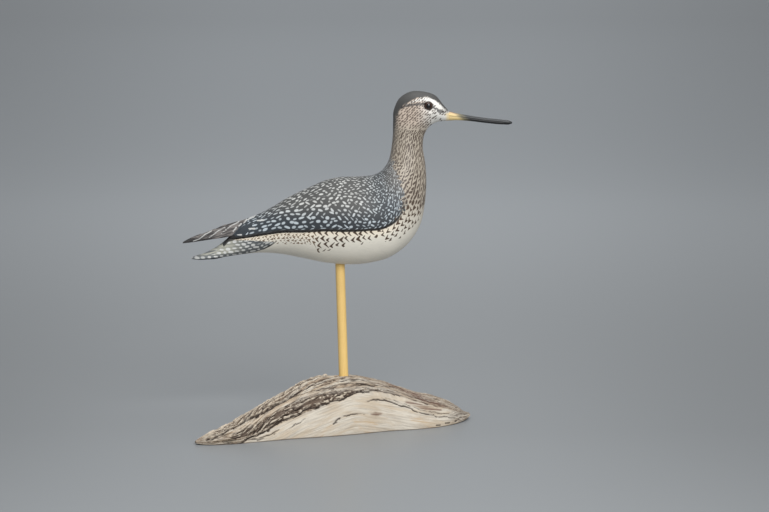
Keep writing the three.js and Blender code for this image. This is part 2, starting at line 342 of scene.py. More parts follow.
def make_mesh(name: str, vertices: Array, faces: list[Array]) -> Mesh:
    """A mesh in metres from vertices in millimetres.

    Args:
        name: the mesh's name.
        vertices: places in millimetres, shape (count, 3).
        faces: arrays of triangles and of quads.

    Returns:
        The mesh.
    """
    mesh = bpy.data.meshes.new(name)
    corners = np.concatenate([part.ravel() for part in faces]).astype(np.int32)
    sizes = np.concatenate([np.full(len(part), part.shape[1]) for part in faces])
    starts = np.concatenate([[0], np.cumsum(sizes)[:-1]]).astype(np.int32)
    mesh.vertices.add(len(vertices))
    mesh.vertices.foreach_set("co", (vertices * MM).astype(np.float32).ravel())
    mesh.loops.add(len(corners))
    mesh.loops.foreach_set("vertex_index", corners)
    mesh.polygons.add(len(sizes))
    mesh.polygons.foreach_set("loop_start", starts)
    mesh.update(calc_edges=True)
    mesh.validate()
    return mesh


def write_corner_vectors(mesh: Mesh, name: str, values: Array) -> None:
    """Gives the mesh's face corners a vector each, from one vector for each vertex.

    Args:
        mesh: the mesh that gets the attribute.
        name: the attribute's name, which a material reads.
        values: one vector for each vertex.
    """
    order = np.empty(len(mesh.loops), np.int32)
    mesh.loops.foreach_get("vertex_index", order)
    attribute = mesh.attributes.new(name, "FLOAT_VECTOR", "CORNER")
    attribute.data.foreach_set("vector", values[order].astype(np.float32).ravel())


def write_loft_vectors(mesh: Mesh, name: str, grid: Array) -> None:
    """Gives a closed loft's corners a vector each, where an end's centre takes its ring's mean."""
    centres = grid[[0, -1]].mean(axis=1)
    write_corner_vectors(mesh, name, np.concatenate([grid.reshape(-1, 3), centres]))


def make_object(name: str, mesh: Mesh, crease_degrees: float = 60) -> Object:
    """An object in the scene with smooth shading, except across sharp edges.

    Args:
        name: the piece's name.
        mesh: its mesh.
        crease_degrees: edges sharper than this stay sharp.

    Returns:
        The object.
    """
    mesh.shade_smooth()
    mesh.set_sharp_from_angle(angle=math.radians(crease_degrees))
    piece = bpy.data.objects.new(name, mesh)
    bpy.context.scene.collection.objects.link(piece)
    return piece


def dress(piece: Object, material: Material, finish: Finish, *nodes: str) -> None:
    """Paints a piece, mounts it on the part's one body and puts it in the place of solids.

    Args:
        piece: the finished object.
        material: its paint.
        finish: the material slot of the record; not used.
        nodes: names of the solids that it stands in for.
    """
    piece.data.materials.clear()
    piece.data.materials.append(material)
    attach(piece, "root")
    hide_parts(*nodes)
    log.info("%s: %d faces, in place of %s", piece.name, len(piece.data.polygons), ", ".join(nodes))


# Shader building blocks


def srgb(red: int, green: int, blue: int) -> Colour:
    """A linear colour from its values on a screen, 0 to 255."""
    screen = (value / 255 for value in (red, green, blue))
    return (*(c / 12.92 if c <= 0.04045 else ((c + 0.055) / 1.055) ** 2.4 for c in screen), 1.0)


class Graph:
    """Adds nodes to a node tree. A value given to a method is a number, a tuple or a socket."""

    def __init__(self, tree: NodeTree) -> None:
        """Works on the given tree."""
        self.tree = tree

    def feed(self, socket: NodeSocket, value: Value) -> None:
        """Links a socket to an input, or sets the input's own value.

        Args:
            socket: the input.
            value: what it gets.
        """
        if isinstance(value, NodeSocket):
            self.tree.links.new(value, socket)
        else:
            socket.default_value = value

    def add(self, kind: str, inputs: dict[str | int, Value], **settings: object) -> Node:
        """A new node.

        Args:
            kind: the node's type, without the words that all shader nodes start with.
            inputs: values of its inputs, by name or by number.
            settings: the node's own properties.

        Returns:
            The node.
        """
        node = self.tree.nodes.new("ShaderNode" + kind)
        for name, value in settings.items():
            setattr(node, name, value)
        for key, value in inputs.items():
            self.feed(node.inputs[key], value)
        return node

    def math(self, operation: str, *values: Value) -> NodeSocket:
        """Result of a Math node whose inputs are the values in turn."""
        return self.add("Math", dict(enumerate(values)), operation=operation).outputs[0]

    def plus(self, first: Value, second: Value) -> NodeSocket:
        """The sum of two values."""
        return self.math("ADD", first, second)

    def minus(self, first: Value, second: Value) -> NodeSocket:
        """The first value less the second."""
        return self.math("SUBTRACT", first, second)

    def times(self, first: Value, second: Value) -> NodeSocket:
        """The product of two values."""
        return self.math("MULTIPLY", first, second)

    def line(self, value: Value, slope: Value, start: Value) -> NodeSocket:
        """The height of a straight line: value times slope, plus start."""
        return self.math("MULTIPLY_ADD", value, slope, start)

    def reach(self, first: Value, second: Value) -> NodeSocket:
        """The length of the line to a point, from the two sides of its right-angled triangle."""
        return self.math("SQRT", self.plus(self.times(first, first), self.times(second, second)))

    def off_middle(self, value: Value) -> NodeSocket:
        """How far the value is from the middle between two whole numbers, 0 to 0.5."""
        return self.math("ABSOLUTE", self.minus(self.math("FRACT", value), 0.5))

    def step(self, value: Value, low: Value, high: Value) -> NodeSocket:
        """Smooth step from 0 at low to 1 at high, which may be the smaller one."""
        inputs = {"Value": value, "From Min": low, "From Max": high}
        return self.add("MapRange", inputs, interpolation_type="SMOOTHSTEP").outputs["Result"]

    def mix(self, share: Value, first: Value, second: Value) -> NodeSocket:
        """Colour between two others, by the share of the second."""
        return self.add("Mix", {0: share, 6: first, 7: second}, data_type="RGBA").outputs[2]

    def coat(self, under: Value, over: Value, *shares: Value) -> NodeSocket:
        """A colour laid over another one, as thickly as the product of the shares."""
        return self.mix(functools.reduce(self.times, shares), under, over)

    def shade(self, colour: Value, by: Value) -> NodeSocket:
        """Colour made darker or lighter by a factor."""
        plain = colour[:3] if isinstance(colour, tuple) else colour
        return self.add("VectorMath", {0: plain, "Scale": by}, operation="SCALE").outputs[0]

    def vector(self, name: str) -> NodeSocket:
        """A vector attribute of the piece."""
        return self.add("Attribute", {}, attribute_name=name).outputs["Vector"]

    def parts(self, vector: Value) -> tuple[NodeSocket, NodeSocket, NodeSocket]:
        """The three numbers of a vector."""
        return tuple(self.add("SeparateXYZ", {0: vector}).outputs)

    def joined(self, x: Value, y: Value, z: Value) -> NodeSocket:
        """A vector from three numbers."""
        return self.add("CombineXYZ", {0: x, 1: y, 2: z}).outputs[0]

    def xyz(self) -> tuple[NodeSocket, NodeSocket, NodeSocket]:
        """The object coordinates x, y and z, in metres."""
        return self.parts(self.add("TexCoord", {}).outputs["Object"])

    def place(self, scale: Triple = (1.0, 1.0, 1.0)) -> NodeSocket:
        """Object coordinates, with a factor for each axis."""
        coordinates = self.add("TexCoord", {}).outputs["Object"]
        return self.add("Mapping", {"Vector": coordinates, "Scale": scale}).outputs[0]

    def noise(self, vector: Value, scale: Value, detail: float = 2, roughness: float = 0.5) -> NodeSocket:
        """Noise from 0 to 1, with finer layers added to it."""
        inputs = {"Vector": vector, "Scale": scale, "Detail": detail, "Roughness": roughness}
        return self.add("TexNoise", inputs).outputs["Fac"]

    def group(self, tree: NodeTree, **inputs: Value) -> Node:
        """A node group placed in this tree, its inputs given by their names."""
        return self.add("Group", inputs, node_tree=tree)


def new_group(name: str, inputs: dict[str, object], outputs: tuple[str, ...]) -> tuple[Graph, dict, dict]:
    """An empty node group with named sockets.

    Args:
        name: the group's name.
        inputs: default value of each input. A tuple makes a vector socket.
        outputs: names of the outputs, all plain numbers.

    Returns:
        The graph to build in, the sockets that bring the inputs, and those that take the outputs.
    """
    tree = bpy.data.node_groups.new(name, "ShaderNodeTree")
    for label, default in inputs.items():
        kind = "NodeSocketVector" if isinstance(default, tuple) else "NodeSocketFloat"
        socket = tree.interface.new_socket(label, in_out="INPUT", socket_type=kind)
        socket.default_value = default
    for label in outputs:
        tree.interface.new_socket(label, in_out="OUTPUT", socket_type="NodeSocketFloat")
    start, end = tree.nodes.new("NodeGroupInput"), tree.nodes.new("NodeGroupOutput")
    brought = {label: start.outputs[label] for label in inputs}
    return Graph(tree), brought, {label: end.inputs[label] for label in outputs}


def feather_marks() -> NodeTree:
    """Painted marks, one in each cell of a lattice.

    Place is (cells passed along a row of feathers, rows passed, amount). Every second row is moved
    half a cell. A mark is a superellipse with its own random shift and size. Tilt raises its front
    end, zigzag does so one way and the other in turn, and turn does it at random. Fold bends it into
    a V that opens forwards, with arms that taper. Where the amount is below 1 some are left out.

    Returns:
        The group, which puts out Mask, 1 inside a mark, and Tone, a random number for each mark.
    """
    g, given, out = new_group("feather_marks", {
        "Place": (0.0, 0.0, 0.0), "Length": 0.6, "Width": 0.5, "Fold": 0.0, "Taper": 0.0, "Tilt": 0.0,
        "Zigzag": 0.0, "Turn": 0.3, "Jitter": 0.3, "Square": 2.5, "Soft": 0.15, "Seed": 0.0,
    }, ("Mask", "Tone"))
    along, across, amount = g.parts(given["Place"])
    row = g.math("FLOOR", across)
    odd = g.math("FLOORED_MODULO", row, 2.0)
    shifted = g.line(odd, 0.5, along)
    column = g.math("FLOOR", shifted)
    spot = g.joined(column, row, given["Seed"])
    random = g.add("TexWhiteNoise", {"Vector": spot}, noise_dimensions="3D")
    first, second, third = (g.minus(part, 0.5) for part in g.parts(random.outputs["Color"]))
    spot = g.joined(g.plus(column, 0.5), row, given["Seed"])
    other = g.add("TexWhiteNoise", {"Vector": spot}, noise_dimensions="3D")
    fourth, fifth, _ = (g.minus(part, 0.5) for part in g.parts(other.outputs["Color"]))
    p = g.minus(g.minus(g.minus(shifted, column), 0.5), g.times(given["Jitter"], first))
    q = g.minus(g.minus(g.minus(across, row), 0.5), g.times(given["Jitter"], second))
    sign = g.line(odd, -2.0, 1.0)
    tilt = g.line(given["Zigzag"], sign, given["Tilt"])
    tilt = g.line(g.times(given["Turn"], 2.0), fourth, tilt)
    q = g.minus(q, g.times(tilt, p))
    arm = g.math("ABSOLUTE", q)
    p = g.minus(p, g.times(given["Fold"], g.minus(arm, 0.2)))
    grow = g.line(third, 0.6, 1.0)
    stretch = g.line(fifth, 0.5, 1.0)
    half_long = g.times(g.times(given["Length"], 0.5), g.times(grow, stretch))
    thinned = g.line(g.times(given["Taper"], arm), -2.0, 1.0)
    half_long = g.times(half_long, g.math("MAXIMUM", thinned, 0.1))
    half_wide = g.math("DIVIDE", g.times(g.times(given["Width"], 0.5), grow), stretch)
    p = g.math("POWER", g.math("ABSOLUTE", g.math("DIVIDE", p, half_long)), given["Square"])
    q = g.math("POWER", g.math("ABSOLUTE", g.math("DIVIDE", q, half_wide)), given["Square"])
    distance = g.math("POWER", g.plus(p, q), g.math("DIVIDE", 1.0, given["Square"]))
    inside = g.step(distance, g.plus(1.0, given["Soft"]), g.minus(1.0, given["Soft"]))
    shown = g.math("GREATER_THAN", amount, random.outputs["Value"])
    g.feed(out["Mask"], g.times(inside, shown))
    g.feed(out["Tone"], g.plus(third, 0.5))
    return g.tree


def brushed_paint() -> NodeTree:
    """Hand-brushed paint: cloudy tone and fine brush marks along X.

    Returns:
        The group. Its Tone is a factor round 1 for the colour, its Height feeds a Bump node and its
        Gloss is added to the roughness.
    """
    g, given, out = new_group("brushed_paint", {"Cloud": 0.1, "Strokes": 0.1}, ("Tone", "Height", "Gloss"))
    cloud = g.noise(g.place(), 45.0, 3)
    fine = g.noise(g.place((0.25, 1.0, 1.0)), 1100.0, 2)
    centred = g.minus(cloud, 0.5)
    brushed = g.minus(fine, 0.5)
    tone = g.line(centred, g.times(given["Cloud"], 2.0), 1.0)
    g.feed(out["Tone"], g.line(brushed, given["Strokes"], tone))
    g.feed(out["Height"], g.line(cloud, 2.0, fine))
    g.feed(out["Gloss"], g.times(centred, 0.25))
    return g.tree


def new_material(name: str) -> tuple[Material, Graph, Node]:
    """A node material.

    Args:
        name: the material's name.

    Returns:
        The material, its graph and its Principled BSDF.
    """
    material = bpy.data.materials.new(name)
    material.use_nodes = True
    return material, Graph(material.node_tree), material.node_tree.nodes["Principled BSDF"]


def add_bump(g: Graph, shader: Node, height: Value, strength: float, distance_mm: float) -> None:
    """Feeds a height into the shader's normal, where a height of 1 stands as high as the distance."""
    bump = g.add("Bump", {"Height": height, "Strength": strength, "Distance": distance_mm * MM})
    g.feed(shader.inputs["Normal"], bump.outputs["Normal"])


# The eyes


@dataclass(frozen=True)
class Eye:
    """A glass eye, a ball whose pole points straight out of the head."""

    radius: float = 4.0
    centre: Triple = (84.4, 10.3, 325.0)
    rings: int = 40
    sides: int = 64

    def build(self, side: Side) -> Object:
        """Ball of rings round the axis that points out of the head.

        Args:
            side: the side of the bird that the eye is on.

        Returns:
            The eye.
        """
        polar = np.linspace(0, np.pi, self.rings)[1:-1, None]
        turn = np.linspace(0, 2 * np.pi, self.sides, endpoint=False)
        x = self.centre[0] + self.radius * np.sin(polar) * np.cos(turn)
        z = self.centre[2] + self.radius * np.sin(polar) * np.sin(turn)
        out = self.centre[1] + self.radius * np.cos(polar) + 0 * turn
        vertices, faces = closed_loft(np.stack([x, side.value * out, z], -1))
        vertices[-2, 1] = side.value * (self.centre[1] + self.radius)
        vertices[-1, 1] = side.value * (self.centre[1] - self.radius)
        name = "glass_" + self.node(side)
        return make_object(name, make_mesh(name, vertices, faces))

    def node(self, side: Side) -> str:
        """Name of the solid that the eye stands in for."""
        return "eye_" + side.name.lower()


@dataclass(frozen=True)
class EyeGlass:
    """Dark brown glass with a black pupil under a clear, polished surface."""

    iris: Colour = srgb(58, 34, 20)
    pupil: Colour = srgb(10, 8, 8)
    pupil_radius: float = 2.1

    def material(self) -> Material:
        """Iris and pupil by the distance from the eye's axis.

        Returns:
            The material.
        """
        material, g, shader = new_material("eye_glass")
        x, _, z = g.xyz()
        dx = g.minus(x, Eye.centre[0] * MM)
        dz = g.minus(z, Eye.centre[2] * MM)
        reach = g.reach(dx, dz)
        pupil = g.step(reach, (self.pupil_radius + 0.4) * MM, self.pupil_radius * MM)
        rays = g.noise(g.place(), 900.0, 2)
        iris = g.shade(self.iris, g.line(rays, 0.8, 0.5))
        g.feed(shader.inputs["Base Color"], g.mix(pupil, iris, self.pupil))
        shader.inputs["Roughness"].default_value = 0.12
        shader.inputs["Specular IOR Level"].default_value = 0.25
        shader.inputs["Coat Weight"].default_value = 0.6
        shader.inputs["Coat Roughness"].default_value = 0.02
        return material


# The carving


@dataclass(frozen=True)
class Section:
    """A cross-section of the carving, from a point on its back to one on its belly, as (x, z).

    level is the height of the widest place, as a share of the way from belly to back. On the body
    the wing's lower edge lies there, and proud is how far the wing stands out from the flank.
    """

    back: Pair
    belly: Pair
    half_width: float
    level: float = 0.5
    flare: float = 0.0
    low_square: float = 2.0
    high_square: float = 2.0
    proud: float = 0.0

    def row(self) -> list[float]:
        """The section's ten numbers."""
        return [*self.back, *self.belly, self.half_width, self.level, self.flare, self.low_square,
                self.high_square, self.proud]


TAIL_SECTIONS = (
    Section((-152, 172.9), (-151.5, 171.4), 5),
    Section((-149.5, 174), (-149.8, 171.4), 9.5, flare=0.1),
    Section((-143, 175.8), (-144, 171.2), 12.6, flare=0.15, low_square=3),
    Section((-134, 179.6), (-136.5, 171.6), 13, 0.55, 0.22, 4),
    Section((-123, 186.4), (-127.5, 172.2), 11.6, 0.66, 0.38, 5),
    Section((-112.5, 195.4), (-118.8, 174.2), 10.4, 0.85, 0.5, 6),
)
BODY_SECTIONS = (
    Section((-96, 212.3), (-117, 174.5), 11, 0.52, 0.42, 6, 1.75, 2.6),
    Section((-84, 217), (-100, 176.8), 15.4, 0.495, 0.06, 4, 1.8, 2.6),
    Section((-70, 224.3), (-82, 178), 20.5, 0.47, 0, 2.5, 1.85, 2.4),
    Section((-55.6, 233), (-64, 176.8), 25, 0.455, 0, 2, 1.9, 2.2),
    Section((-37, 241.9), (-40, 172.4), 29, 0.442, proud=2.2),
    Section((-17, 250.6), (-18, 168), 31.5, 0.442, proud=2.2),
    Section((-2, 253.6), (5, 166.1), 33, 0.435, proud=2.2),
    Section((15, 254.1), (27, 167.9), 33.4, 0.43, proud=2.2),
    Section((29, 255.6), (48, 174.4), 32.6, 0.405, proud=2),
    Section((36.8, 259), (65, 187.6), 30.6, 0.4, proud=1.8),
    Section((41.2, 263.8), (76.6, 206), 27.2, 0.455, proud=1.3),
    Section((44.4, 269), (81.4, 229.5), 23, 0.5, proud=0.5),
    Section((46.4, 275), (82.6, 250), 18.6),
    Section((48, 284), (81.4, 268), 15.2),
    Section((49.2, 296), (79, 284), 13.2),
    Section((49.4, 309), (81, 297), 12.8),
    Section((50.3, 321), (86.5, 304.6), 13.5),
    Section((56, 332.3), (91, 307.4), 14),
    Section((66.5, 338.5), (94.4, 308.6), 13.9),
    Section((80, 338.6), (97.8, 309.2), 12.6),
    Section((91.5, 334.7), (100.8, 309.5), 10),
    Section((99.3, 325.6), (103.4, 309.7), 6.6),
    Section((105, 319), (105.4, 309.9), 3.7),
)


@dataclass(frozen=True)
class WingTip:
    """A free wing tip: a leaf-shaped blade that leans in towards its twin.

    Stations are (x, top, bottom, distance of the top edge from the middle, of the bottom edge). The
    paint counts its distances from the heights of the edge, the back and the belly, and from where
    the body ends.
    """

    stations: Route = (
        (-80, 214.5, 199, 4.4, 11.5),
        (-96, 211.6, 196.8, 3.6, 10.6),
        (-108, 208.2, 195.4, 2.8, 9.4),
        (-120, 205, 193.4, 2.2, 7.8),
        (-131, 200.4, 191.7, 2.0, 6.2),
        (-142, 196.5, 189.9, 2.2, 4.9),
        (-153, 192.4, 188.2, 2.6, 4.0),
        (-160.5, 188.9, 187.3, 3.0, 3.4),
    )
    thickness: float = 2.4
    thin_end: float = 0.35
    taper_length: float = 30
    step: float = 1.1
    step_start: float = -100
    feather_tips: tuple[float, ...] = (-106, -118, -129, -142)
    rings: int = 96
    sides: int = 28
    edge_height: float = 190
    back_height: float = 225
    belly_height: float = 170
    body_end: float = -106

    def points(self, side: Side) -> Array:
        """The blade as a grid of rings.

        A ring rises from the bottom edge to the top edge as (1 - cos angle) / 2 and swells sideways
        as sin angle. The top edge drops evenly by one step between the tips of two flight feathers
        and jumps back up at each tip.

        Args:
            side: the side of the bird that the tip belongs to.

        Returns:
            Places in millimetres, shape (rings, sides, 3).
        """
        rows = np.array(self.stations)
        knots = -rows[:, 0]
        back = np.linspace(knots[0], knots[-1], self.rings)
        top, bottom, top_out, bottom_out = smooth_rows(knots, rows[:, 1:], back).T
        ends = np.array([knots[0], *(-tip for tip in self.feather_tips), knots[-1]])
        passed = np.clip(np.searchsorted(ends, back) - 1, 0, len(ends) - 2)
        share = (back - ends[passed]) / (ends[passed + 1] - ends[passed])
        taper = np.minimum(1, (knots[-1] - back) / self.taper_length)
        step = (back > -self.step_start) * self.step * (0.5 - share) * (1 - taper / 2)
        half_thick = self.thickness / 2 * (self.thin_end + (1 - self.thin_end) * taper)
        angle = np.linspace(0, 2 * np.pi, self.sides, endpoint=False)
        rise = (1 - np.cos(angle)) / 2
        height = bottom[:, None] + (top + step - bottom)[:, None] * rise
        out = bottom_out[:, None] + (top_out - bottom_out)[:, None] * rise
        out = out + half_thick[:, None] * np.sin(angle)
        return np.stack([np.broadcast_to(-back[:, None], out.shape), side.value * out, height], -1)


@dataclass(frozen=True)
class Plumage:
    """Where the painted feather marks go.

    Routes are in the side view, (x, z) or (x, z, half width). Spacings are (distance along the
    middle of the carving from the body's first section, size of a cell there). A change is (where
    it starts, where it ends): shoulder, neck_foot and wing_end along the middle, tail_end and
    face_front in x, breast_fade, flight_gap and tail_thinning off a border, the others in height.
    """

    wing_cells: Route = ((0, 7.6), (40, 7.2), (90, 6.6), (120, 5.4), (145, 4.4), (165, 3.7), (200, 3.2))
    wing_rows: Route = ((0, 3.9), (60, 4.1), (105, 4.0), (130, 3.5), (150, 3.0), (185, 2.7))
    edge_row: float = 2.5
    back_cells: Route = ((0, 7.4), (60, 6.8), (110, 5.6), (145, 4.0), (170, 3.2), (200, 2.9))
    back_rows: Route = ((0, 3.4), (60, 4.0), (110, 3.8), (145, 2.9), (200, 2.4))
    neck_cells: Route = ((130, 5.2), (160, 5.0), (185, 4.8), (205, 4.5), (235, 4.0), (255, 3.5), (300, 2.6))
    neck_rows: Route = (
        (130, 5.4), (160, 5.2), (180, 4.3), (192, 3.2), (205, 2.3), (240, 2.0), (260, 1.8), (300, 1.7),
    )
    head_cell: Pair = (3.3, 2.0)
    head_slope_degrees: float = 42
    tail_cell: Pair = (6.2, 3.1)
    tail_low: Route = ((-152, 171.4), (-118, 174.4), (-97, 177.2), (-80, 182), (-67, 190))
    shoulder: Pair = (100, 150)
    neck_foot: Pair = (136, 150)
    wing_end: Pair = (172, 200)
    breast_fade: Pair = (-3, 6)
    flight_gap: Pair = (6, 12)
    tail_thinning: Pair = (7, 10)
    tail_end: Pair = (-119, -125)
    face_front: Pair = (82, 94)
    wing_softens: Pair = (206, 232)
    wing_top: Pair = (268, 290)
    head_foot: Pair = (298, 304)
    neck_top: Pair = (300, 307)
    flank_cells: Route = ((0, 3.9), (72, 3.6), (82, 5.6), (160, 5.4))
    flank_rows: Route = ((0, 3.0), (72, 3.1), (82, 6.8), (160, 6.6))
    flank_depth: Route = (
        (-118, 3), (-100, 6), (-80, 11), (-62, 14), (-35, 14.5), (-28, 15), (-25, 28), (-13, 26.5), (-9, 17),
        (10, 15), (30, 14), (38, 12), (46, 9),
    )
    breast_edge: Route = (
        (20, 190), (38, 192), (50, 195), (62, 199.5), (72, 208), (79, 219), (82, 230), (84, 250),
    )
    crown: Route = (
        (106, 319.2), (102.8, 318.9), (98.4, 323.6), (94.9, 327.2), (89.8, 331), (84.1, 333.4),
        (77.6, 334), (71.9, 332.5), (66.9, 330), (62.6, 327.9), (58.3, 324.3), (55.5, 320),
        (53.3, 315.3), (51, 301), (47.5, 291), (44, 270), (30, 270), (30, 350), (112, 350),
    )
    brow: Route = (
        (103, 317.8, 0.6), (98.4, 321.9, 1.2), (94.9, 325.2, 1.6), (89.8, 329, 1.8), (84.1, 331.3, 1.8),
        (77.6, 331.6, 1.7), (71.9, 330, 1.3), (66.9, 328, 0.7), (62, 325.6, 0.1),
    )
    chin: Route = ((104.5, 312, 1.6), (96, 311.5, 2.2), (90, 308.5, 3), (85.5, 301, 2.4), (82.5, 291, 1.6))
    cheek: Route = ((101, 316.5, 1.6), (94, 317.5, 1.6))
    eye_stripes: tuple[Route, ...] = (
        ((80.2, 326.8, 0.9), (72.1, 326.6, 1.4), (64.1, 325.4, 1.5), (57.5, 323.6, 1.2)),
        ((89.3, 324.2, 0.8), (91, 321.8, 0.8)),
        ((92.2, 322, 0.9), (95.6, 319.8, 2.0), (99.6, 318.2, 1.4)),
    )
    pale_edges: tuple[Route, ...] = (
        ((-150, 189.7, 0.3), (-143.6, 192, 0.35), (-138.3, 196.2, 0.4), (-131.6, 199.7, 0.35)),
        ((-134, 193.4, 0.3), (-130.2, 195.9, 0.4), (-124.9, 200.2, 0.45), (-118.2, 203.5, 0.35)),
        ((-122, 197.4, 0.3), (-118.6, 200, 0.35), (-112.4, 205, 0.45), (-105.7, 208.2, 0.4),
         (-101, 211.5, 0.3)),
        ((-110, 199.6, 0.5), (-106.8, 203.6, 0.7)),
        ((-104.7, 204.5, 0.5), (-101.8, 207.2, 0.7)),
        ((-99.3, 207.8, 0.5), (-96.5, 211.2, 0.6)),
        ((-95, 211.4, 0.5), (-91, 214, 0.6)),
        ((-90, 213.4, 0.4), (-87, 216.8, 0.6)),
        ((-93.8, 203.2, 0.5), (-88.2, 203.4, 0.8)),
        ((-85.6, 211, 0.5), (-79, 211.8, 0.7)),
        ((-105.6, 196.8, 0.3), (-101.4, 197, 0.7)),
    )
    flight_feathers: Route = (
        (-111.5, 195.2), (-107, 200.2), (-102, 206.2), (-96, 211.7), (-91, 215.2), (-91, 240), (-175, 240),
        (-175, 178), (-120, 188),
    )
    tail_side: Route = (
        (-67.5, 190.6), (-73, 186), (-80, 182.2), (-88, 179.5), (-97, 177.6), (-110, 174), (-125, 168),
        (-160, 164), (-160, 178), (-124, 186.6), (-111, 191.4), (-92, 191.6),
    )
    # Painted shadow of the wing tips along the tail's upper edge, and a dark line at the tail's front corner
    tail_shadow: Route = ((-109, 195.2, 1.4), (-117.8, 190.2, 1.0), (-126, 185.5, 0.6))
    tail_corner: Route = ((-66.5, 190.8, 0.4), (-73, 186.4, 0.7), (-80, 182.6, 0.5))


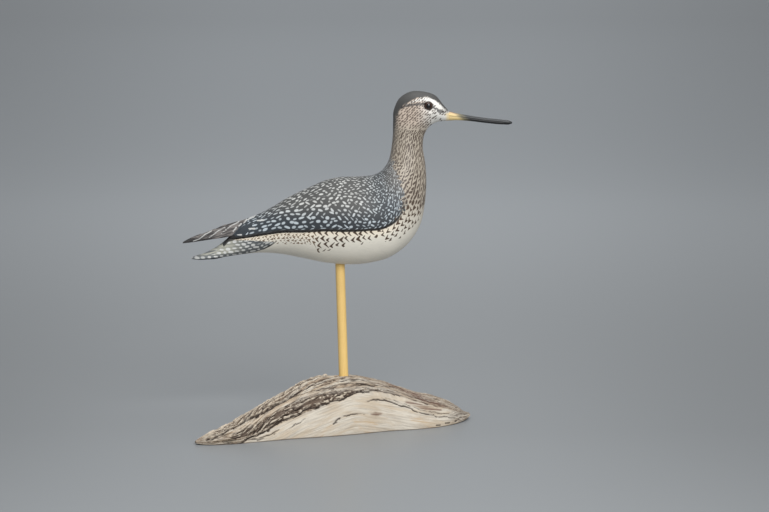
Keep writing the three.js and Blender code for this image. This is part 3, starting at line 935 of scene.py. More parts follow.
@dataclass(frozen=True)
class Carving:
    """The carved bird: body, tail, neck and head with its two wing tips, one painted piece.

    A half ring has flank columns, then edge columns round the wing's lower edge and edge_margin of
    the ring to either side, and the rest above. That edge is a groove and a lip of two points:
    lip_outs are shares of the wing's thickness, lip_rises the heights of all three in millimetres.
    The places of the tail's last ring and of the wall in front of it go on from the body's first, 0.
    """

    spacing: float = 1.16
    half_columns: int = 121
    flank_columns: int = 46
    edge_columns: int = 15
    edge_margin: float = 0.012
    arc_points: int = 240
    rear_wall_rings: int = 9
    wall_place: float = -1.0
    tail_place: float = -2.0
    wing_edge_drop: float = 0.7
    undercut: float = 1.0
    lip_outs: Pair = (0.35, 0.85)
    lip_rises: Triple = (0.5, -0.3, -0.85)
    eye: Eye = Eye()
    lid_radius: float = 3.9
    lid_offset: float = 0.35
    lid_width: float = 0.55
    lid_height: float = 0.4
    socket_depth: float = 0.9
    socket_wall: float = 0.9
    eye_seat: float = 11.1
    seat_reach: float = 6
    crease_degrees: float = 38
    plumage: Plumage = Plumage()

    def ring_rows(self, sections: tuple[Section, ...]) -> tuple[Array, Array]:
        """Sections between the given ones, as close as the spacing asks on back and belly.

        Args:
            sections: the given cross-sections, from the rear to the front.

        Returns:
            The distance along the middle of the carving, and the ten numbers, of each ring.
        """
        rows = np.array([section.row() for section in sections])
        back_gaps = np.linalg.norm(np.diff(rows[:, 0:2], axis=0), axis=1)
        belly_gaps = np.linalg.norm(np.diff(rows[:, 2:4], axis=0), axis=1)
        middles = (rows[:, 0:2] + rows[:, 2:4]) / 2
        knots = np.concatenate([[0], np.cumsum(np.linalg.norm(np.diff(middles, axis=0), axis=1))])
        counts = np.ceil(np.maximum(back_gaps, belly_gaps) / self.spacing).astype(int)
        stretches = [np.linspace(a, b, n, endpoint=False) for a, b, n in zip(knots, knots[1:], counts)]
        places = np.concatenate([*stretches, knots[-1:]])
        return places, smooth_rows(knots, rows, places)

    def half_rings(self, rows: Array) -> dict[str, Array]:
        """Right half of every ring, read at columns that crowd round the wing's lower edge.

        Below the widest place a ring is one half of a superellipse and above it the other half,
        which stands out by the wing's thickness. Between them lies the wing's rounded lower edge,
        undercut where it meets the flank.

        Args:
            rows: the ten numbers of each ring's section.

        Returns:
            x, z, out (distance from the middle plane) and three distances over the surface: up from
            the wing's lower edge, down from the middle of the back and front from that of the belly.
        """
        back_x, back_z, belly_x, belly_z, half_width, level, flare, low, high, proud = rows.T[:, :, None]
        proud = np.maximum(proud, 0)
        lift = np.minimum(proud, 1)
        up_x, up_z = back_x - belly_x, back_z - belly_z
        tall = np.hypot(up_x, up_z)
        angle = np.pi / 4 * (1 - np.cos(np.linspace(0, np.pi, self.arc_points)))
        cosine, sine = np.maximum(np.cos(angle), 0), np.sin(angle)
        depth = cosine ** (2 / low)
        low_out = half_width * sine ** (2 / low) * (1 + flare * depth)
        low_rise = -depth * level * tall
        climb = sine ** (2 / high)
        high_out = (half_width + proud) * cosine ** (2 / high)
        high_rise = climb * (1 - level) * tall - self.wing_edge_drop * lift * (1 - climb)
        lips = [half_width + share * proud for share in self.lip_outs]
        lip_out = np.concatenate([half_width - self.undercut * lift, *lips], axis=1)
        lip_rise = np.concatenate([share * lift for share in self.lip_rises], axis=1)
        out = np.concatenate([low_out, lip_out, high_out], axis=1)
        rise = np.concatenate([low_rise, lip_rise, high_rise], axis=1)
        steps = np.hypot(np.diff(out, axis=1), np.diff(rise, axis=1))
        length = np.concatenate([np.zeros_like(proud), np.cumsum(steps, axis=1)], axis=1)
        edge, wing, whole = (length[:, [k]] for k in (self.arc_points - 1, self.arc_points + 2, -1))
        margin = self.edge_margin * whole
        below = np.linspace(0, 1, self.flank_columns, endpoint=False) * (edge - margin)
        band = wing - edge + 2 * margin
        around = edge - margin + np.linspace(0, 1, self.edge_columns, endpoint=False) * band
        above_count = self.half_columns - self.flank_columns - self.edge_columns
        above = wing + margin + np.linspace(0, 1, above_count) * (whole - wing - margin)
        at = np.concatenate([below, around, above], axis=1)
        out, rise = even_rows(length, at, out), even_rows(length, at, rise)
        return {
            "x": belly_x + up_x * level + up_x / tall * rise,
            "z": belly_z + up_z * level + up_z / tall * rise,
            "out": out,
            "up": np.where(at < edge, at - edge, np.maximum(at - wing, 0)),
            "down": whole - at,
            "front": at,
        }

    def feather_rows(self, x: Array, z: Array, place: Array, half: dict[str, Array]) -> dict[str, Array]:
        """The lattice of each tract of feathers.

        Rows are counted up from the wing's lower edge on the wing and down from it on the flank,
        down from the middle of the back and up from the middle of the breast. The head's slant.

        Args:
            x: side-view place of the points.
            z: side-view height of the points.
            place: distance along the middle of the carving, negative on the tail.
            half: up, down and front of the points.

        Returns:
            For each tract (cells along, rows across, amount).
        """
        p = self.plumage
        up, down, front = half["up"], half["down"], half["front"]
        above = np.maximum(up, 0)
        upper_row = 1 + (above - p.edge_row) / straight(p.wing_rows, place)
        row = np.where(above < p.edge_row, above / p.edge_row, upper_row)
        thinner = ramp(place, *p.shoulder)
        behind_neck = 1 - ramp(place, *p.neck_foot)
        above_breast = ramp(z - along_route(p.breast_edge, x), *p.breast_fade)
        amount = (1.05 - 0.08 * thinner) * ramp(-patch(x, z, p.flight_feathers), *p.flight_gap)
        neck_amount = 1.1 * above_breast * ramp(place, *p.neck_foot) * (1 - ramp(z, *p.neck_top))
        slope = math.radians(p.head_slope_degrees)
        head_along = (x * math.cos(slope) + z * math.sin(slope)) / p.head_cell[0]
        head_across = (z * math.cos(slope) - x * math.sin(slope)) / p.head_cell[1]
        head_amount = ramp(z, *p.head_foot) * (0.95 - 0.5 * ramp(x, *p.face_front))
        limit = straight(p.flank_depth, x) + 1.5 * value_noise(x / 7, up * 0, 5)
        flank_amount = ramp(limit + up, -2, 3) * behind_neck * (up < 0.5)
        over_tail = z - straight(p.tail_low, x)
        tracts = {
            "wing_rows": (cell_count(p.wing_cells, place), row, amount),
            "back_rows": (cell_count(p.back_cells, place), down / straight(p.back_rows, place),
                          1.0 - 0.15 * thinner),
            "neck_rows": (cell_count(p.neck_cells, place), front / straight(p.neck_rows, place),
                          neck_amount),
            "flank_rows": (cell_count(p.flank_cells, place), -up / straight(p.flank_rows, place),
                           flank_amount),
            "tail_rows": (-x / p.tail_cell[0], over_tail / p.tail_cell[1],
                          1 - 0.25 * ramp(over_tail, *p.tail_thinning)),
            "head_rows": (head_along, head_across, head_amount),
        }
        return {name: np.stack(numbers, -1) for name, numbers in tracts.items()}

    def paint(self, x: Array, z: Array, place: Array, half: dict[str, Array]) -> dict[str, Array]:
        """Vectors that the paint reads at each point: the lattices and the zones.

        Args:
            x: side-view place of the points.
            z: side-view height of the points.
            place: distance along the middle of the carving, negative on the tail.
            half: up, down and front of the points.

        Returns:
            The lattices, and signed distances: zones (wing, its lower half, breast), rear (tail,
            flight feathers, pale edges), head (crown, eye stripes, pale marks) and lines (the wing's
            lower edge, the painted shadow along the tail's upper edge with the dark line at its front
            corner, the eye's middle).
        """
        p = self.plumage
        up, down = half["up"], half["down"]
        on_tail = place < (self.tail_place + self.wall_place) / 2
        soft = 0.3 + 10 * ramp(z, *p.wing_softens)
        tail_top = 60 * ramp(x, *p.tail_end) * on_tail
        not_wing = 22 * ramp(place, *p.wing_end) + 40 * ramp(z, *p.wing_top) + tail_top
        eye_x, _, eye_z = self.eye.centre
        zones = {
            "zones": (np.clip((up - not_wing) / soft, -1, 1),
                      np.clip((0.55 * (up + down) - up) / 2, -1, 1),
                      z - along_route(p.breast_edge, x)),
            "rear": (np.where(on_tail, 3, patch(x, z, p.tail_side)),
                     patch(x, z, p.flight_feathers),
                     strokes(x, z, p.pale_edges)),
            "head": (patch(x, z, p.crown),
                     strokes(x, z, p.eye_stripes),
                     strokes(x, z, (p.brow, p.chin, p.cheek))),
            "lines": (up - tail_top,
                      strokes(x, z, (p.tail_shadow, p.tail_corner)),
                      np.hypot(x - eye_x, z - eye_z)),
        }
        vectors = self.feather_rows(x, z, place, half)
        return vectors | {name: np.stack(numbers, -1) for name, numbers in zones.items()}

    def eye_relief(self, x: Array, z: Array, out: Array) -> Array:
        """Change of a point's distance from the middle round the eye.

        The surface is drawn to a flat seat, on which a ring stands up as a bell curve at the lid's
        radius, and inside the ring it sinks.

        Args:
            x: side-view place of the points.
            z: side-view height of the points.
            out: their distance from the middle of the bird.

        Returns:
            What is added to the distance.
        """
        eye_x, _, eye_z = self.eye.centre
        reach = np.hypot(x - eye_x, z - eye_z)
        from_crest = (reach - self.lid_radius - self.lid_offset) / self.lid_width
        lid = self.lid_height * np.exp(-(from_crest**2))
        hollow = self.socket_depth * ramp(reach, self.lid_radius, self.lid_radius - self.socket_wall)
        seat = (self.eye_seat - out) * np.exp(-((reach / self.seat_reach) ** 4))
        return np.where(out > 4, lid - hollow + seat, 0)

    def body_mesh(self) -> Mesh:
        """The body, tail, neck and head, with the vectors that the paint reads.

        The tail's last ring is joined to the body's first one by a steep wall of a few rings.

        Returns:
            The closed mesh.
        """
        tail_places, tail_rows = self.ring_rows(TAIL_SECTIONS)
        body_places, body_rows = self.ring_rows(BODY_SECTIONS)
        tail, body = self.half_rings(tail_rows), self.half_rings(body_rows)
        share = np.linspace(0, 1, self.rear_wall_rings + 2)[1:-1, None]
        half = {
            name: np.concatenate([
                tail[name], tail[name][-1:] * (1 - share) + body[name][:1] * share, body[name]
            ])
            for name in tail
        }
        wall = np.full(self.rear_wall_rings, self.wall_place)
        tail_places = tail_places - tail_places[-1] + self.tail_place
        place = np.concatenate([tail_places, wall, body_places])[:, None]
        out = half["out"] + self.eye_relief(half["x"], half["z"], half["out"])
        out[:, 0] = out[:, -1] = 0
        vectors = self.paint(half["x"], half["z"], place + 0 * out, half)
        right = np.stack([half["x"], Side.RIGHT.value * out, half["z"]], -1)
        left = right * (1, -1, 1)
        points = np.concatenate([right, left[:, -2:0:-1]], axis=1)
        vertices, faces = closed_loft(points)
        mesh = make_mesh("carving", vertices, faces)
        for name, values in vectors.items():
            write_loft_vectors(mesh, name, np.concatenate([values, values[:, -2:0:-1]], axis=1))
        return mesh

    def tip_mesh(self, side: Side) -> Mesh:
        """A wing tip, with the same vectors as the body.

        Args:
            side: the side of the bird that the tip belongs to.

        Returns:
            The closed mesh.
        """
        blade = WingTip()
        vertices, faces = closed_loft(blade.points(side))
        x, z = vertices[:, 0], vertices[:, 2]
        half = {"up": z - blade.edge_height, "down": blade.back_height - z, "front": z - blade.belly_height}
        vectors = self.paint(x, z, x - blade.body_end, half)
        vectors["zones"][:, 0] = 1
        vectors["lines"][:, 0] = half["up"]
        mesh = make_mesh("wing_tip", vertices, faces)
        for name, values in vectors.items():
            write_corner_vectors(mesh, name, values)
        return mesh

    def build(self) -> Object:
        """Joins the body and its wing tips into one closed surface.

        Returns:
            The carving.
        """
        whole = bpy.data.objects.new("whole", self.body_mesh())
        bpy.context.scene.collection.objects.link(whole)
        tips = [bpy.data.objects.new("tip", self.tip_mesh(side)) for side in Side]
        for tip in tips:
            bpy.context.scene.collection.objects.link(tip)
            union = whole.modifiers.new("union", "BOOLEAN")
            union.operation, union.solver, union.object = "UNION", "MANIFOLD", tip
        graph = bpy.context.evaluated_depsgraph_get()
        joined = bpy.data.meshes.new_from_object(whole.evaluated_get(graph))
        for scaffold in (whole, *tips):
            bpy.data.objects.remove(scaffold)
        joined.name = "carving"
        return make_object("carving", joined, self.crease_degrees)


@dataclass(frozen=True)
class FeatherPaint:
    """The carving's paint: slate wings with white notches, a streaked neck and a white belly."""

    slate: Colour = srgb(46, 53, 59)
    warm_slate: Colour = srgb(72, 72, 70)
    mantle: Colour = srgb(106, 102, 98)
    notch: Colour = srgb(184, 193, 198)
    warm_notch: Colour = srgb(200, 200, 196)
    flight_brown: Colour = srgb(118, 112, 108)
    flight_dark: Colour = srgb(52, 49, 49)
    ivory: Colour = srgb(236, 230, 216)
    tan: Colour = srgb(176, 165, 149)
    buff: Colour = srgb(250, 236, 212)
    streak: Colour = srgb(84, 71, 61)
    chevron: Colour = srgb(78, 60, 44)
    flank_brown: Colour = srgb(126, 104, 82)
    crown: Colour = srgb(68, 67, 65)
    cheek: Colour = srgb(200, 183, 167)
    white: Colour = srgb(234, 231, 224)
    black: Colour = srgb(30, 28, 27)
    tail_ground: Colour = srgb(100, 103, 104)
    tail_olive: Colour = srgb(164, 163, 150)
    horn: Colour = srgb(226, 200, 142)

    def wing(self, g: Graph, marks: NodeTree) -> NodeSocket:
        """Slate with rows of white notches, warmer towards the back, and plain brown flight feathers.

        Args:
            g: the material's graph.
            marks: the group of painted marks.

        Returns:
            The wing's colour.
        """
        tract = g.parts(g.vector("zones"))[1]
        flight = g.parts(g.vector("rear"))[1]
        along, row, _ = g.parts(g.vector("wing_rows"))
        x, _, height = g.xyz()
        warm = g.times(g.step(height, 0.208, 0.23), g.step(x, 0.05, 0.01))
        on_neck = g.times(g.step(height, 0.225, 0.258), g.step(x, 0.03, 0.052))
        slate = g.mix(warm, self.slate, self.warm_slate)
        slate = g.coat(slate, self.mantle, on_neck, 0.8)
        notch = g.mix(g.math("MAXIMUM", warm, on_neck), self.notch, self.warm_notch)
        edge_row = g.math("LESS_THAN", row, 1.0)
        front = g.step(along, 10.0, 22.0)
        low_front = g.times(front, g.step(height, 0.226, 0.208))
        slate = g.shade(slate, g.line(low_front, -0.35, 1.0))
        width = g.line(edge_row, -0.1, g.line(front, -0.05, 0.57))
        length = g.line(edge_row, 0.2, g.line(front, -0.04, 0.62))
        turn = g.line(edge_row, -0.3, g.line(front, 0.9, 0.3))
        zigzag = g.line(front, 0.4, 0.1)
        jitter = g.line(front, 0.2, 0.34)
        low = g.group(marks, Place=g.vector("wing_rows"), Length=length, Width=width, Tilt=0.12,
                      Zigzag=zigzag, Turn=turn, Jitter=jitter, Square=2.3, Soft=0.26, Seed=1.0)
        high = g.group(marks, Place=g.vector("back_rows"), Length=0.62, Width=0.44, Tilt=0.3, Zigzag=0.4,
                       Turn=0.6, Jitter=0.4, Square=2.2, Soft=0.26, Seed=7.0)
        on_low = g.step(tract, -0.5, 0.5)
        shown = g.math("MAXIMUM", g.times(low.outputs["Mask"], on_low),
                       g.times(high.outputs["Mask"], g.minus(1.0, on_low)))
        tone = g.line(low.outputs["Tone"], 0.35, g.line(front, -0.1, 0.7))
        colour = g.mix(shown, slate, g.shade(notch, tone))
        return g.mix(g.step(flight, -0.3, 0.5), colour, self.flight_feathers(g))

    def flight_feathers(self, g: Graph) -> NodeSocket:
        """Brown grey with long dark barbs that run back along the feathers.

        Args:
            g: the material's graph.

        Returns:
            Their colour.
        """
        x, _, z = g.xyz()
        across = g.line(x, -0.27, z)
        barbs = g.noise(g.joined(g.times(x, 70.0), 0.0, g.times(across, 750.0)), 1.0, 2)
        return g.mix(g.step(barbs, 0.42, 0.6), self.flight_dark, self.flight_brown)

    def underparts(self, g: Graph, marks: NodeTree) -> NodeSocket:
        """Ivory belly, buff under the wing, tan neck, with brown chevrons that turn into streaks.

        Args:
            g: the material's graph.
            marks: the group of painted marks.

        Returns:
            The colour.
        """
        x, _, height = g.xyz()
        up = g.parts(g.vector("lines"))[0]
        upward = g.step(height, 0.218, 0.238)
        colour = g.mix(g.step(height, 0.192, 0.24), self.ivory, self.tan)
        under_wing = g.times(g.step(up, -12.0, -2.0), g.step(height, 0.215, 0.203))
        colour = g.coat(colour, self.buff, under_wing, 0.8)
        neck = g.group(marks, Place=g.vector("neck_rows"), Length=g.line(upward, 0.7, 0.6),
                       Width=g.line(upward, -0.6, 1.15), Fold=g.line(upward, -1.1, 1.1),
                       Tilt=g.times(upward, -0.3), Taper=g.line(upward, -0.6, 0.6),
                       Zigzag=g.times(upward, 0.35), Turn=0.4, Jitter=0.4, Square=2.0, Soft=0.28,
                       Seed=3.0)
        rear = g.step(x, -0.02, -0.034)
        flank = g.group(marks, Place=g.vector("flank_rows"), Length=g.line(rear, 0.02, 0.5),
                        Width=g.line(rear, -0.2, 1.15), Fold=1.1, Taper=0.6, Turn=g.line(rear, 0.5, 0.15),
                        Jitter=0.38, Square=2.4, Soft=0.3, Seed=4.0)
        colour = g.mix(neck.outputs["Mask"], colour, g.mix(upward, self.chevron, self.streak))
        return g.mix(flank.outputs["Mask"], colour, g.mix(rear, self.chevron, self.flank_brown))

    def face(self, g: Graph, marks: NodeTree, below: NodeSocket) -> NodeSocket:
        """White face with slanting flecks, a pale brow, a dark stripe through the eye, a grey crown.

        Args:
            g: the material's graph.
            marks: the group of painted marks.
            below: the colour of the neck, which it goes over into.

        Returns:
            The colour of head and neck.
        """
        crown, stripes, pale = g.parts(g.vector("head"))
        from_eye = g.parts(g.vector("lines"))[2]
        x, _, height = g.xyz()
        flecks = g.group(marks, Place=g.vector("head_rows"), Length=0.95, Width=0.66, Turn=0.4,
                         Jitter=0.45, Square=2.0, Soft=0.3, Seed=9.0).outputs["Mask"]
        ground = g.mix(g.step(x, 0.07, 0.092), self.cheek, self.white)
        ground = g.mix(g.step(height, 0.298, 0.312), self.tan, ground)
        rough_edge = g.line(g.noise(g.place(), 420.0, 2), 4.0, -2.0)
        on_head = g.step(height, 0.3, 0.3015)
        colour = g.mix(on_head, below, g.coat(ground, self.streak, flecks, 0.84))
        pale_share = g.step(g.plus(pale, rough_edge), -0.7, 0.7)
        flecked = g.math("MAXIMUM", g.step(x, 0.088, 0.078), g.step(height, 0.3225, 0.3205))
        face = g.coat(self.white, self.streak, flecks, g.times(flecked, 0.9))
        colour = g.mix(pale_share, colour, face)
        from_back = g.parts(g.vector("back_rows"))[1]
        nape = g.times(g.step(from_back, 6.5, 1.5), g.step(height, 0.25, 0.27))
        colour = g.coat(colour, self.crown, nape, 0.3)
        soft = g.line(g.step(height, 0.325, 0.315), 2.2, 0.7)
        crown_share = g.step(g.plus(crown, rough_edge), g.times(soft, -1.0), soft)
        colour = g.mix(crown_share, colour, self.crown)
        stripe_share = g.step(g.plus(stripes, g.times(rough_edge, 0.8)), -0.5, 0.6)
        colour = g.coat(colour, self.flight_dark, stripe_share, 0.8)
        lid = g.times(g.step(from_eye, 4.9, 4.4), g.step(from_eye, 3.4, 3.8))
        colour = g.coat(colour, self.black, lid, 0.8)
        at_bill = g.times(g.step(x, 0.1, 0.1045), g.step(height, 0.3185, 0.3165))
        return g.coat(colour, self.horn, at_bill, 0.8)

    def tail(self, g: Graph, marks: NodeTree) -> NodeSocket:
        """Grey with rows of white squares, olive towards its end and lined along its upper end.

        Args:
            g: the material's graph.
            marks: the group of painted marks.

        Returns:
            The tail's colour.
        """
        along, row, _ = g.parts(g.vector("tail_rows"))
        squares = g.group(marks, Place=g.vector("tail_rows"), Length=0.66, Width=0.62, Tilt=0.3,
                          Turn=0.15, Jitter=0.15, Square=2.8, Soft=0.22, Seed=5.0)
        faded = g.times(g.step(along, 15.0, 19.0), g.step(row, 0.6, 1.8))
        ground = g.mix(faded, self.tail_ground, self.tail_olive)
        between = g.off_middle(row)
        ground = g.coat(ground, self.slate, g.step(between, 0.32, 0.46), 0.45)
        x, _, z = g.xyz()
        dull = g.line(g.step(x, -0.128, -0.138), -0.3, 1.0)
        colour = g.mix(squares.outputs["Mask"], ground, g.shade(self.warm_notch, dull))
        across = g.times(g.line(x, -0.28, z), 420.0)
        line = g.off_middle(across)
        tip = g.mix(g.step(line, 0.2, 0.36), self.tail_olive, self.tail_ground)
        at_tip = g.times(g.step(x, -0.122, -0.13), g.step(row, 1.0, 1.5))
        colour = g.mix(at_tip, colour, tip)
        return g.mix(g.step(row, 0.2, 0.05), colour, self.slate)

    def material(self, marks: NodeTree, paint: NodeTree) -> Material:
        """Lays the coats over each other, from the ground colours to the fine lines, with painted shadow
        under the wing's lower edge and along the tail's upper edge.

        Args:
            marks: the group of painted marks.
            paint: the group of brushed paint.

        Returns:
            The material.
        """
        material, g, shader = new_material("feather_paint")
        brushed = g.group(paint, Cloud=0.1, Strokes=0.16)
        wing = g.parts(g.vector("zones"))[0]
        up, tail_shadow_and_corner, _ = g.parts(g.vector("lines"))
        tail_zone, _, pale_edges = g.parts(g.vector("rear"))
        x, _, height = g.xyz()
        colour = self.face(g, marks, self.underparts(g, marks))
        colour = g.mix(g.step(tail_zone, -0.3, 0.4), colour, self.tail(g, marks))
        between = g.minus(1.0, g.times(wing, wing))
        wander = g.times(g.minus(g.noise(g.place(), 340.0, 2), 0.5), 9.0)
        ragged = g.line(wander, between, wing)
        colour = g.mix(g.step(ragged, -0.5, 0.5), colour, self.wing(g, marks))
        # Black along the wing's lower edge and 2 to 3 mm down onto the flank, wider at the rear: partly the
        # wing's dark edge paint, partly painted shadow under the wing
        thick = g.step(x, 0.05, -0.11)
        upper_side = g.line(thick, -1.3, up)
        edge = g.times(g.step(up, -3.0, -2.2), g.step(upper_side, 1.6, 0.7))
        edge = g.times(edge, g.step(height, 0.24, 0.21))
        colour = g.coat(colour, self.black, edge, 0.94)
        # Painted shadow along the tail's upper edge under the wing tips, and the dark line at the tail's
        # front corner
        colour = g.mix(g.step(tail_shadow_and_corner, -0.4, 0.4), colour, self.black)
        colour = g.coat(colour, self.warm_notch, g.step(pale_edges, -0.35, 0.25), 0.9)
        g.feed(shader.inputs["Base Color"], g.shade(colour, brushed.outputs["Tone"]))
        g.feed(shader.inputs["Roughness"], g.plus(0.53, brushed.outputs["Gloss"]))
        add_bump(g, shader, brushed.outputs["Height"], 0.25, 0.12)
        return material


# Bill and leg


@dataclass(frozen=True)
class Bill:
    """The bill: stations are (x, z of its middle, height, width).

    The nostril is (start, end, height), and its height and the widths of both lines are shares of
    the bill's half height. The rings crowd towards the tip.
    """

    stations: Route = (
        (103.8, 314.6, 8.6, 6.8),
        (105.7, 314.4, 8.9, 7.0),
        (111, 313.8, 7.3, 5.8),
        (124.9, 312.1, 5.5, 4.6),
        (143, 309.7, 5.0, 4.1),
        (159, 308.2, 4.6, 3.7),
        (165.5, 307.8, 3.5, 2.8),
        (167.8, 307.7, 1.4, 1.2),
    )
    rings: int = 170
    sides: int = 48
    groove_depth: float = 0.32
    gape_width: float = 0.11
    gape_end: float = 163
    gape_fade: float = 8
    nostril: Triple = (112.5, 119.0, 0.3)
    nostril_width: float = 0.1
    crowding: float = 1.25

    def build(self) -> Object:
        """An elliptical taper with a thin line along each side where the two halves meet.

        The distance from the middle of a ring is cut back by a bell curve of the angle round the
        widest place, which is the line, and by a shorter one above it near the face, the nostril.

        Returns:
            The bill.
        """
        rows = np.array(self.stations)
        reach = 1 - (1 - np.linspace(0, 1, self.rings)) ** self.crowding
        x = rows[0, 0] + (rows[-1, 0] - rows[0, 0]) * reach
        z, height, width = (column[:, None] for column in smooth_rows(rows[:, 0], rows[:, 1:], x).T)
        angle = np.linspace(0, 2 * np.pi, self.sides, endpoint=False)
        side, rise = np.sin(angle), -np.cos(angle)
        gape = ramp(x, self.gape_end, self.gape_end - self.gape_fade)[:, None]
        line = np.exp(-((rise / self.gape_width) ** 2)) * gape
        start, end, level = self.nostril
        within = (ramp(x, start - 1, start + 1) * ramp(x, end + 1, end - 1))[:, None]
        slit = np.exp(-(((rise - level) / self.nostril_width) ** 2)) * within
        cut = 1 - (self.groove_depth * line + self.groove_depth * slit) / (width / 2)
        points = np.stack([x[:, None] + 0 * side, width / 2 * side * cut, z + height / 2 * rise], -1)
        vertices, faces = closed_loft(points)
        mesh = make_mesh("painted_bill", vertices, faces)
        values = np.stack([x[:, None] + 0 * rise, 0 * line + rise, line + slit], -1)
        write_corner_vectors(mesh, "bill_place", np.concatenate([values.reshape(-1, 3), values[[0, -1], 0]]))
        return make_object("painted_bill", mesh)


@dataclass(frozen=True)
class BillPaint:
    """Yellow horn at the face that turns olive, then near black towards the tip."""

    yellow: Colour = srgb(226, 200, 142)
    tan: Colour = srgb(190, 160, 128)
    olive: Colour = srgb(128, 120, 92)
    # Grey for the dark line along the top of the base, and for the painted highlight on the top of the tip
    culmen_and_highlight_grey: Colour = srgb(50, 52, 53)
    black: Colour = srgb(24, 24, 25)

    def material(self, paint: NodeTree) -> Material:
        """Colour runs along the bill, with a dark line between the halves; towards the tip the lower half is
        black and the top half a lighter grey, a painted highlight from above.

        Args:
            paint: the group of brushed paint.

        Returns:
            The material.
        """
        material, g, shader = new_material("bill_paint")
        brushed = g.group(paint, Cloud=0.1, Strokes=0.12)
        along, level, groove = g.parts(g.vector("bill_place"))
        wander = g.line(level, 3.5, along)
        base = g.mix(g.step(level, 0.35, 0.9), self.yellow, self.tan)
        base = g.coat(base, self.culmen_and_highlight_grey, g.step(level, 0.8, 0.97), 0.8)
        # Painted highlight: the top half of the tip a lighter grey than the black lower half, as if lit from
        # above
        tip = g.mix(g.step(level, -0.2, 0.6), self.black, self.culmen_and_highlight_grey)
        colour = g.mix(g.step(wander, 111.0, 119.0), base, self.olive)
        colour = g.mix(g.step(wander, 115.0, 126.0), colour, tip)
        colour = g.coat(colour, self.black, groove, 0.55)
        g.feed(shader.inputs["Base Color"], g.shade(colour, brushed.outputs["Tone"]))
        g.feed(shader.inputs["Roughness"], g.plus(0.5, brushed.outputs["Gloss"]))
        add_bump(g, shader, brushed.outputs["Height"], 0.2, 0.1)
        return material


@dataclass(frozen=True)
class Leg:
    """The dowel from the driftwood to the belly."""

    diameter: float = 9.5
    foot: Triple = (-0.1, 0, 51)
    hip: Triple = (-3.6, 0, 166)
    in_base: float = 16
    in_body: float = 14
    shaved: float = 0.06
    waver: float = 0.05
    waver_length: float = 14
    rings: int = 120
    sides: int = 56

    def build(self) -> Object:
        """A round rod, shaved by hand: its radius wavers by a few hundredths of a millimetre.

        Returns:
            The leg.
        """
        foot, hip = np.array(self.foot), np.array(self.hip)
        axis = (hip - foot) / np.linalg.norm(hip - foot)
        across = np.array([axis[2], 0, -axis[0]])
        along = np.linspace(-self.in_base, np.linalg.norm(hip - foot) + self.in_body, self.rings)[:, None]
        angle = np.linspace(0, 2 * np.pi, self.sides, endpoint=False)
        uneven = layered_noise(along / self.waver_length, np.cos(angle) * 2 + 3, 21)
        radius = self.diameter / 2 - self.shaved + self.waver * uneven
        points = foot + along[..., None] * axis
        points = points + (radius * np.cos(angle))[..., None] * across
        points = points + (radius * np.sin(angle))[..., None] * np.array([0, 1, 0])
        vertices, faces = closed_loft(points)
        return make_object("dowel", make_mesh("dowel", vertices, faces))


@dataclass(frozen=True)
class LegPaint:
    """Golden yellow satin paint."""

    yellow: Colour = srgb(240, 202, 126)
    ochre: Colour = srgb(208, 162, 92)

    def material(self, paint: NodeTree) -> Material:
        """Brushed along the leg, with a darker touch of paint here and there.

        Args:
            paint: the group of brushed paint.

        Returns:
            The material.
        """
        material, g, shader = new_material("leg_paint")
        brushed = g.group(paint, Cloud=0.08, Strokes=0.08)
        streaks = g.noise(g.place((1.0, 1.0, 0.08)), 700.0, 3)
        colour = g.coat(self.yellow, self.ochre, g.step(streaks, 0.5, 0.75), 0.35)
        g.feed(shader.inputs["Base Color"], g.shade(colour, brushed.outputs["Tone"]))
        g.feed(shader.inputs["Roughness"], g.plus(0.42, brushed.outputs["Gloss"]))
        add_bump(g, shader, g.plus(streaks, brushed.outputs["Height"]), 0.2, 0.1)
        return material


# The driftwood


@dataclass(frozen=True)
class GrainLine:
    """A line along the grain, through (along, across), where across goes from -1 at the front foot
    to 1 at the back foot. With a depth it is a groove between the ends of its span."""

    route: Route
    depth: float = 0.0
    span: Pair = (-1.0, 1.0)

    def share(self, along: Array) -> Array:
        """Depth of the groove along the wood: the root of a half wave over its span."""
        inside = np.clip((along - self.span[0]) / (self.span[1] - self.span[0]), 0, 1)
        return self.depth * np.sqrt(np.sin(np.pi * inside).clip(0))


@dataclass(frozen=True)
class Wear:
    """Depths in millimetres that weathering takes from the wood, with the limits of their sum."""

    fibres: float = 0.5
    slabs: float = 0.5
    large: float = 0.6
    small: float = 0.5
    cracks: float = 1.3
    lumps: float = 1.1
    crumbs: float = 0.8
    notches: float = 1.2
    smooth_fibres: float = 0.16
    smooth_plates: float = 0.14
    smooth_cracks: float = 0.2
    fissures: float = 1.3
    shallowest: float = -2.4
    deepest: float = 4


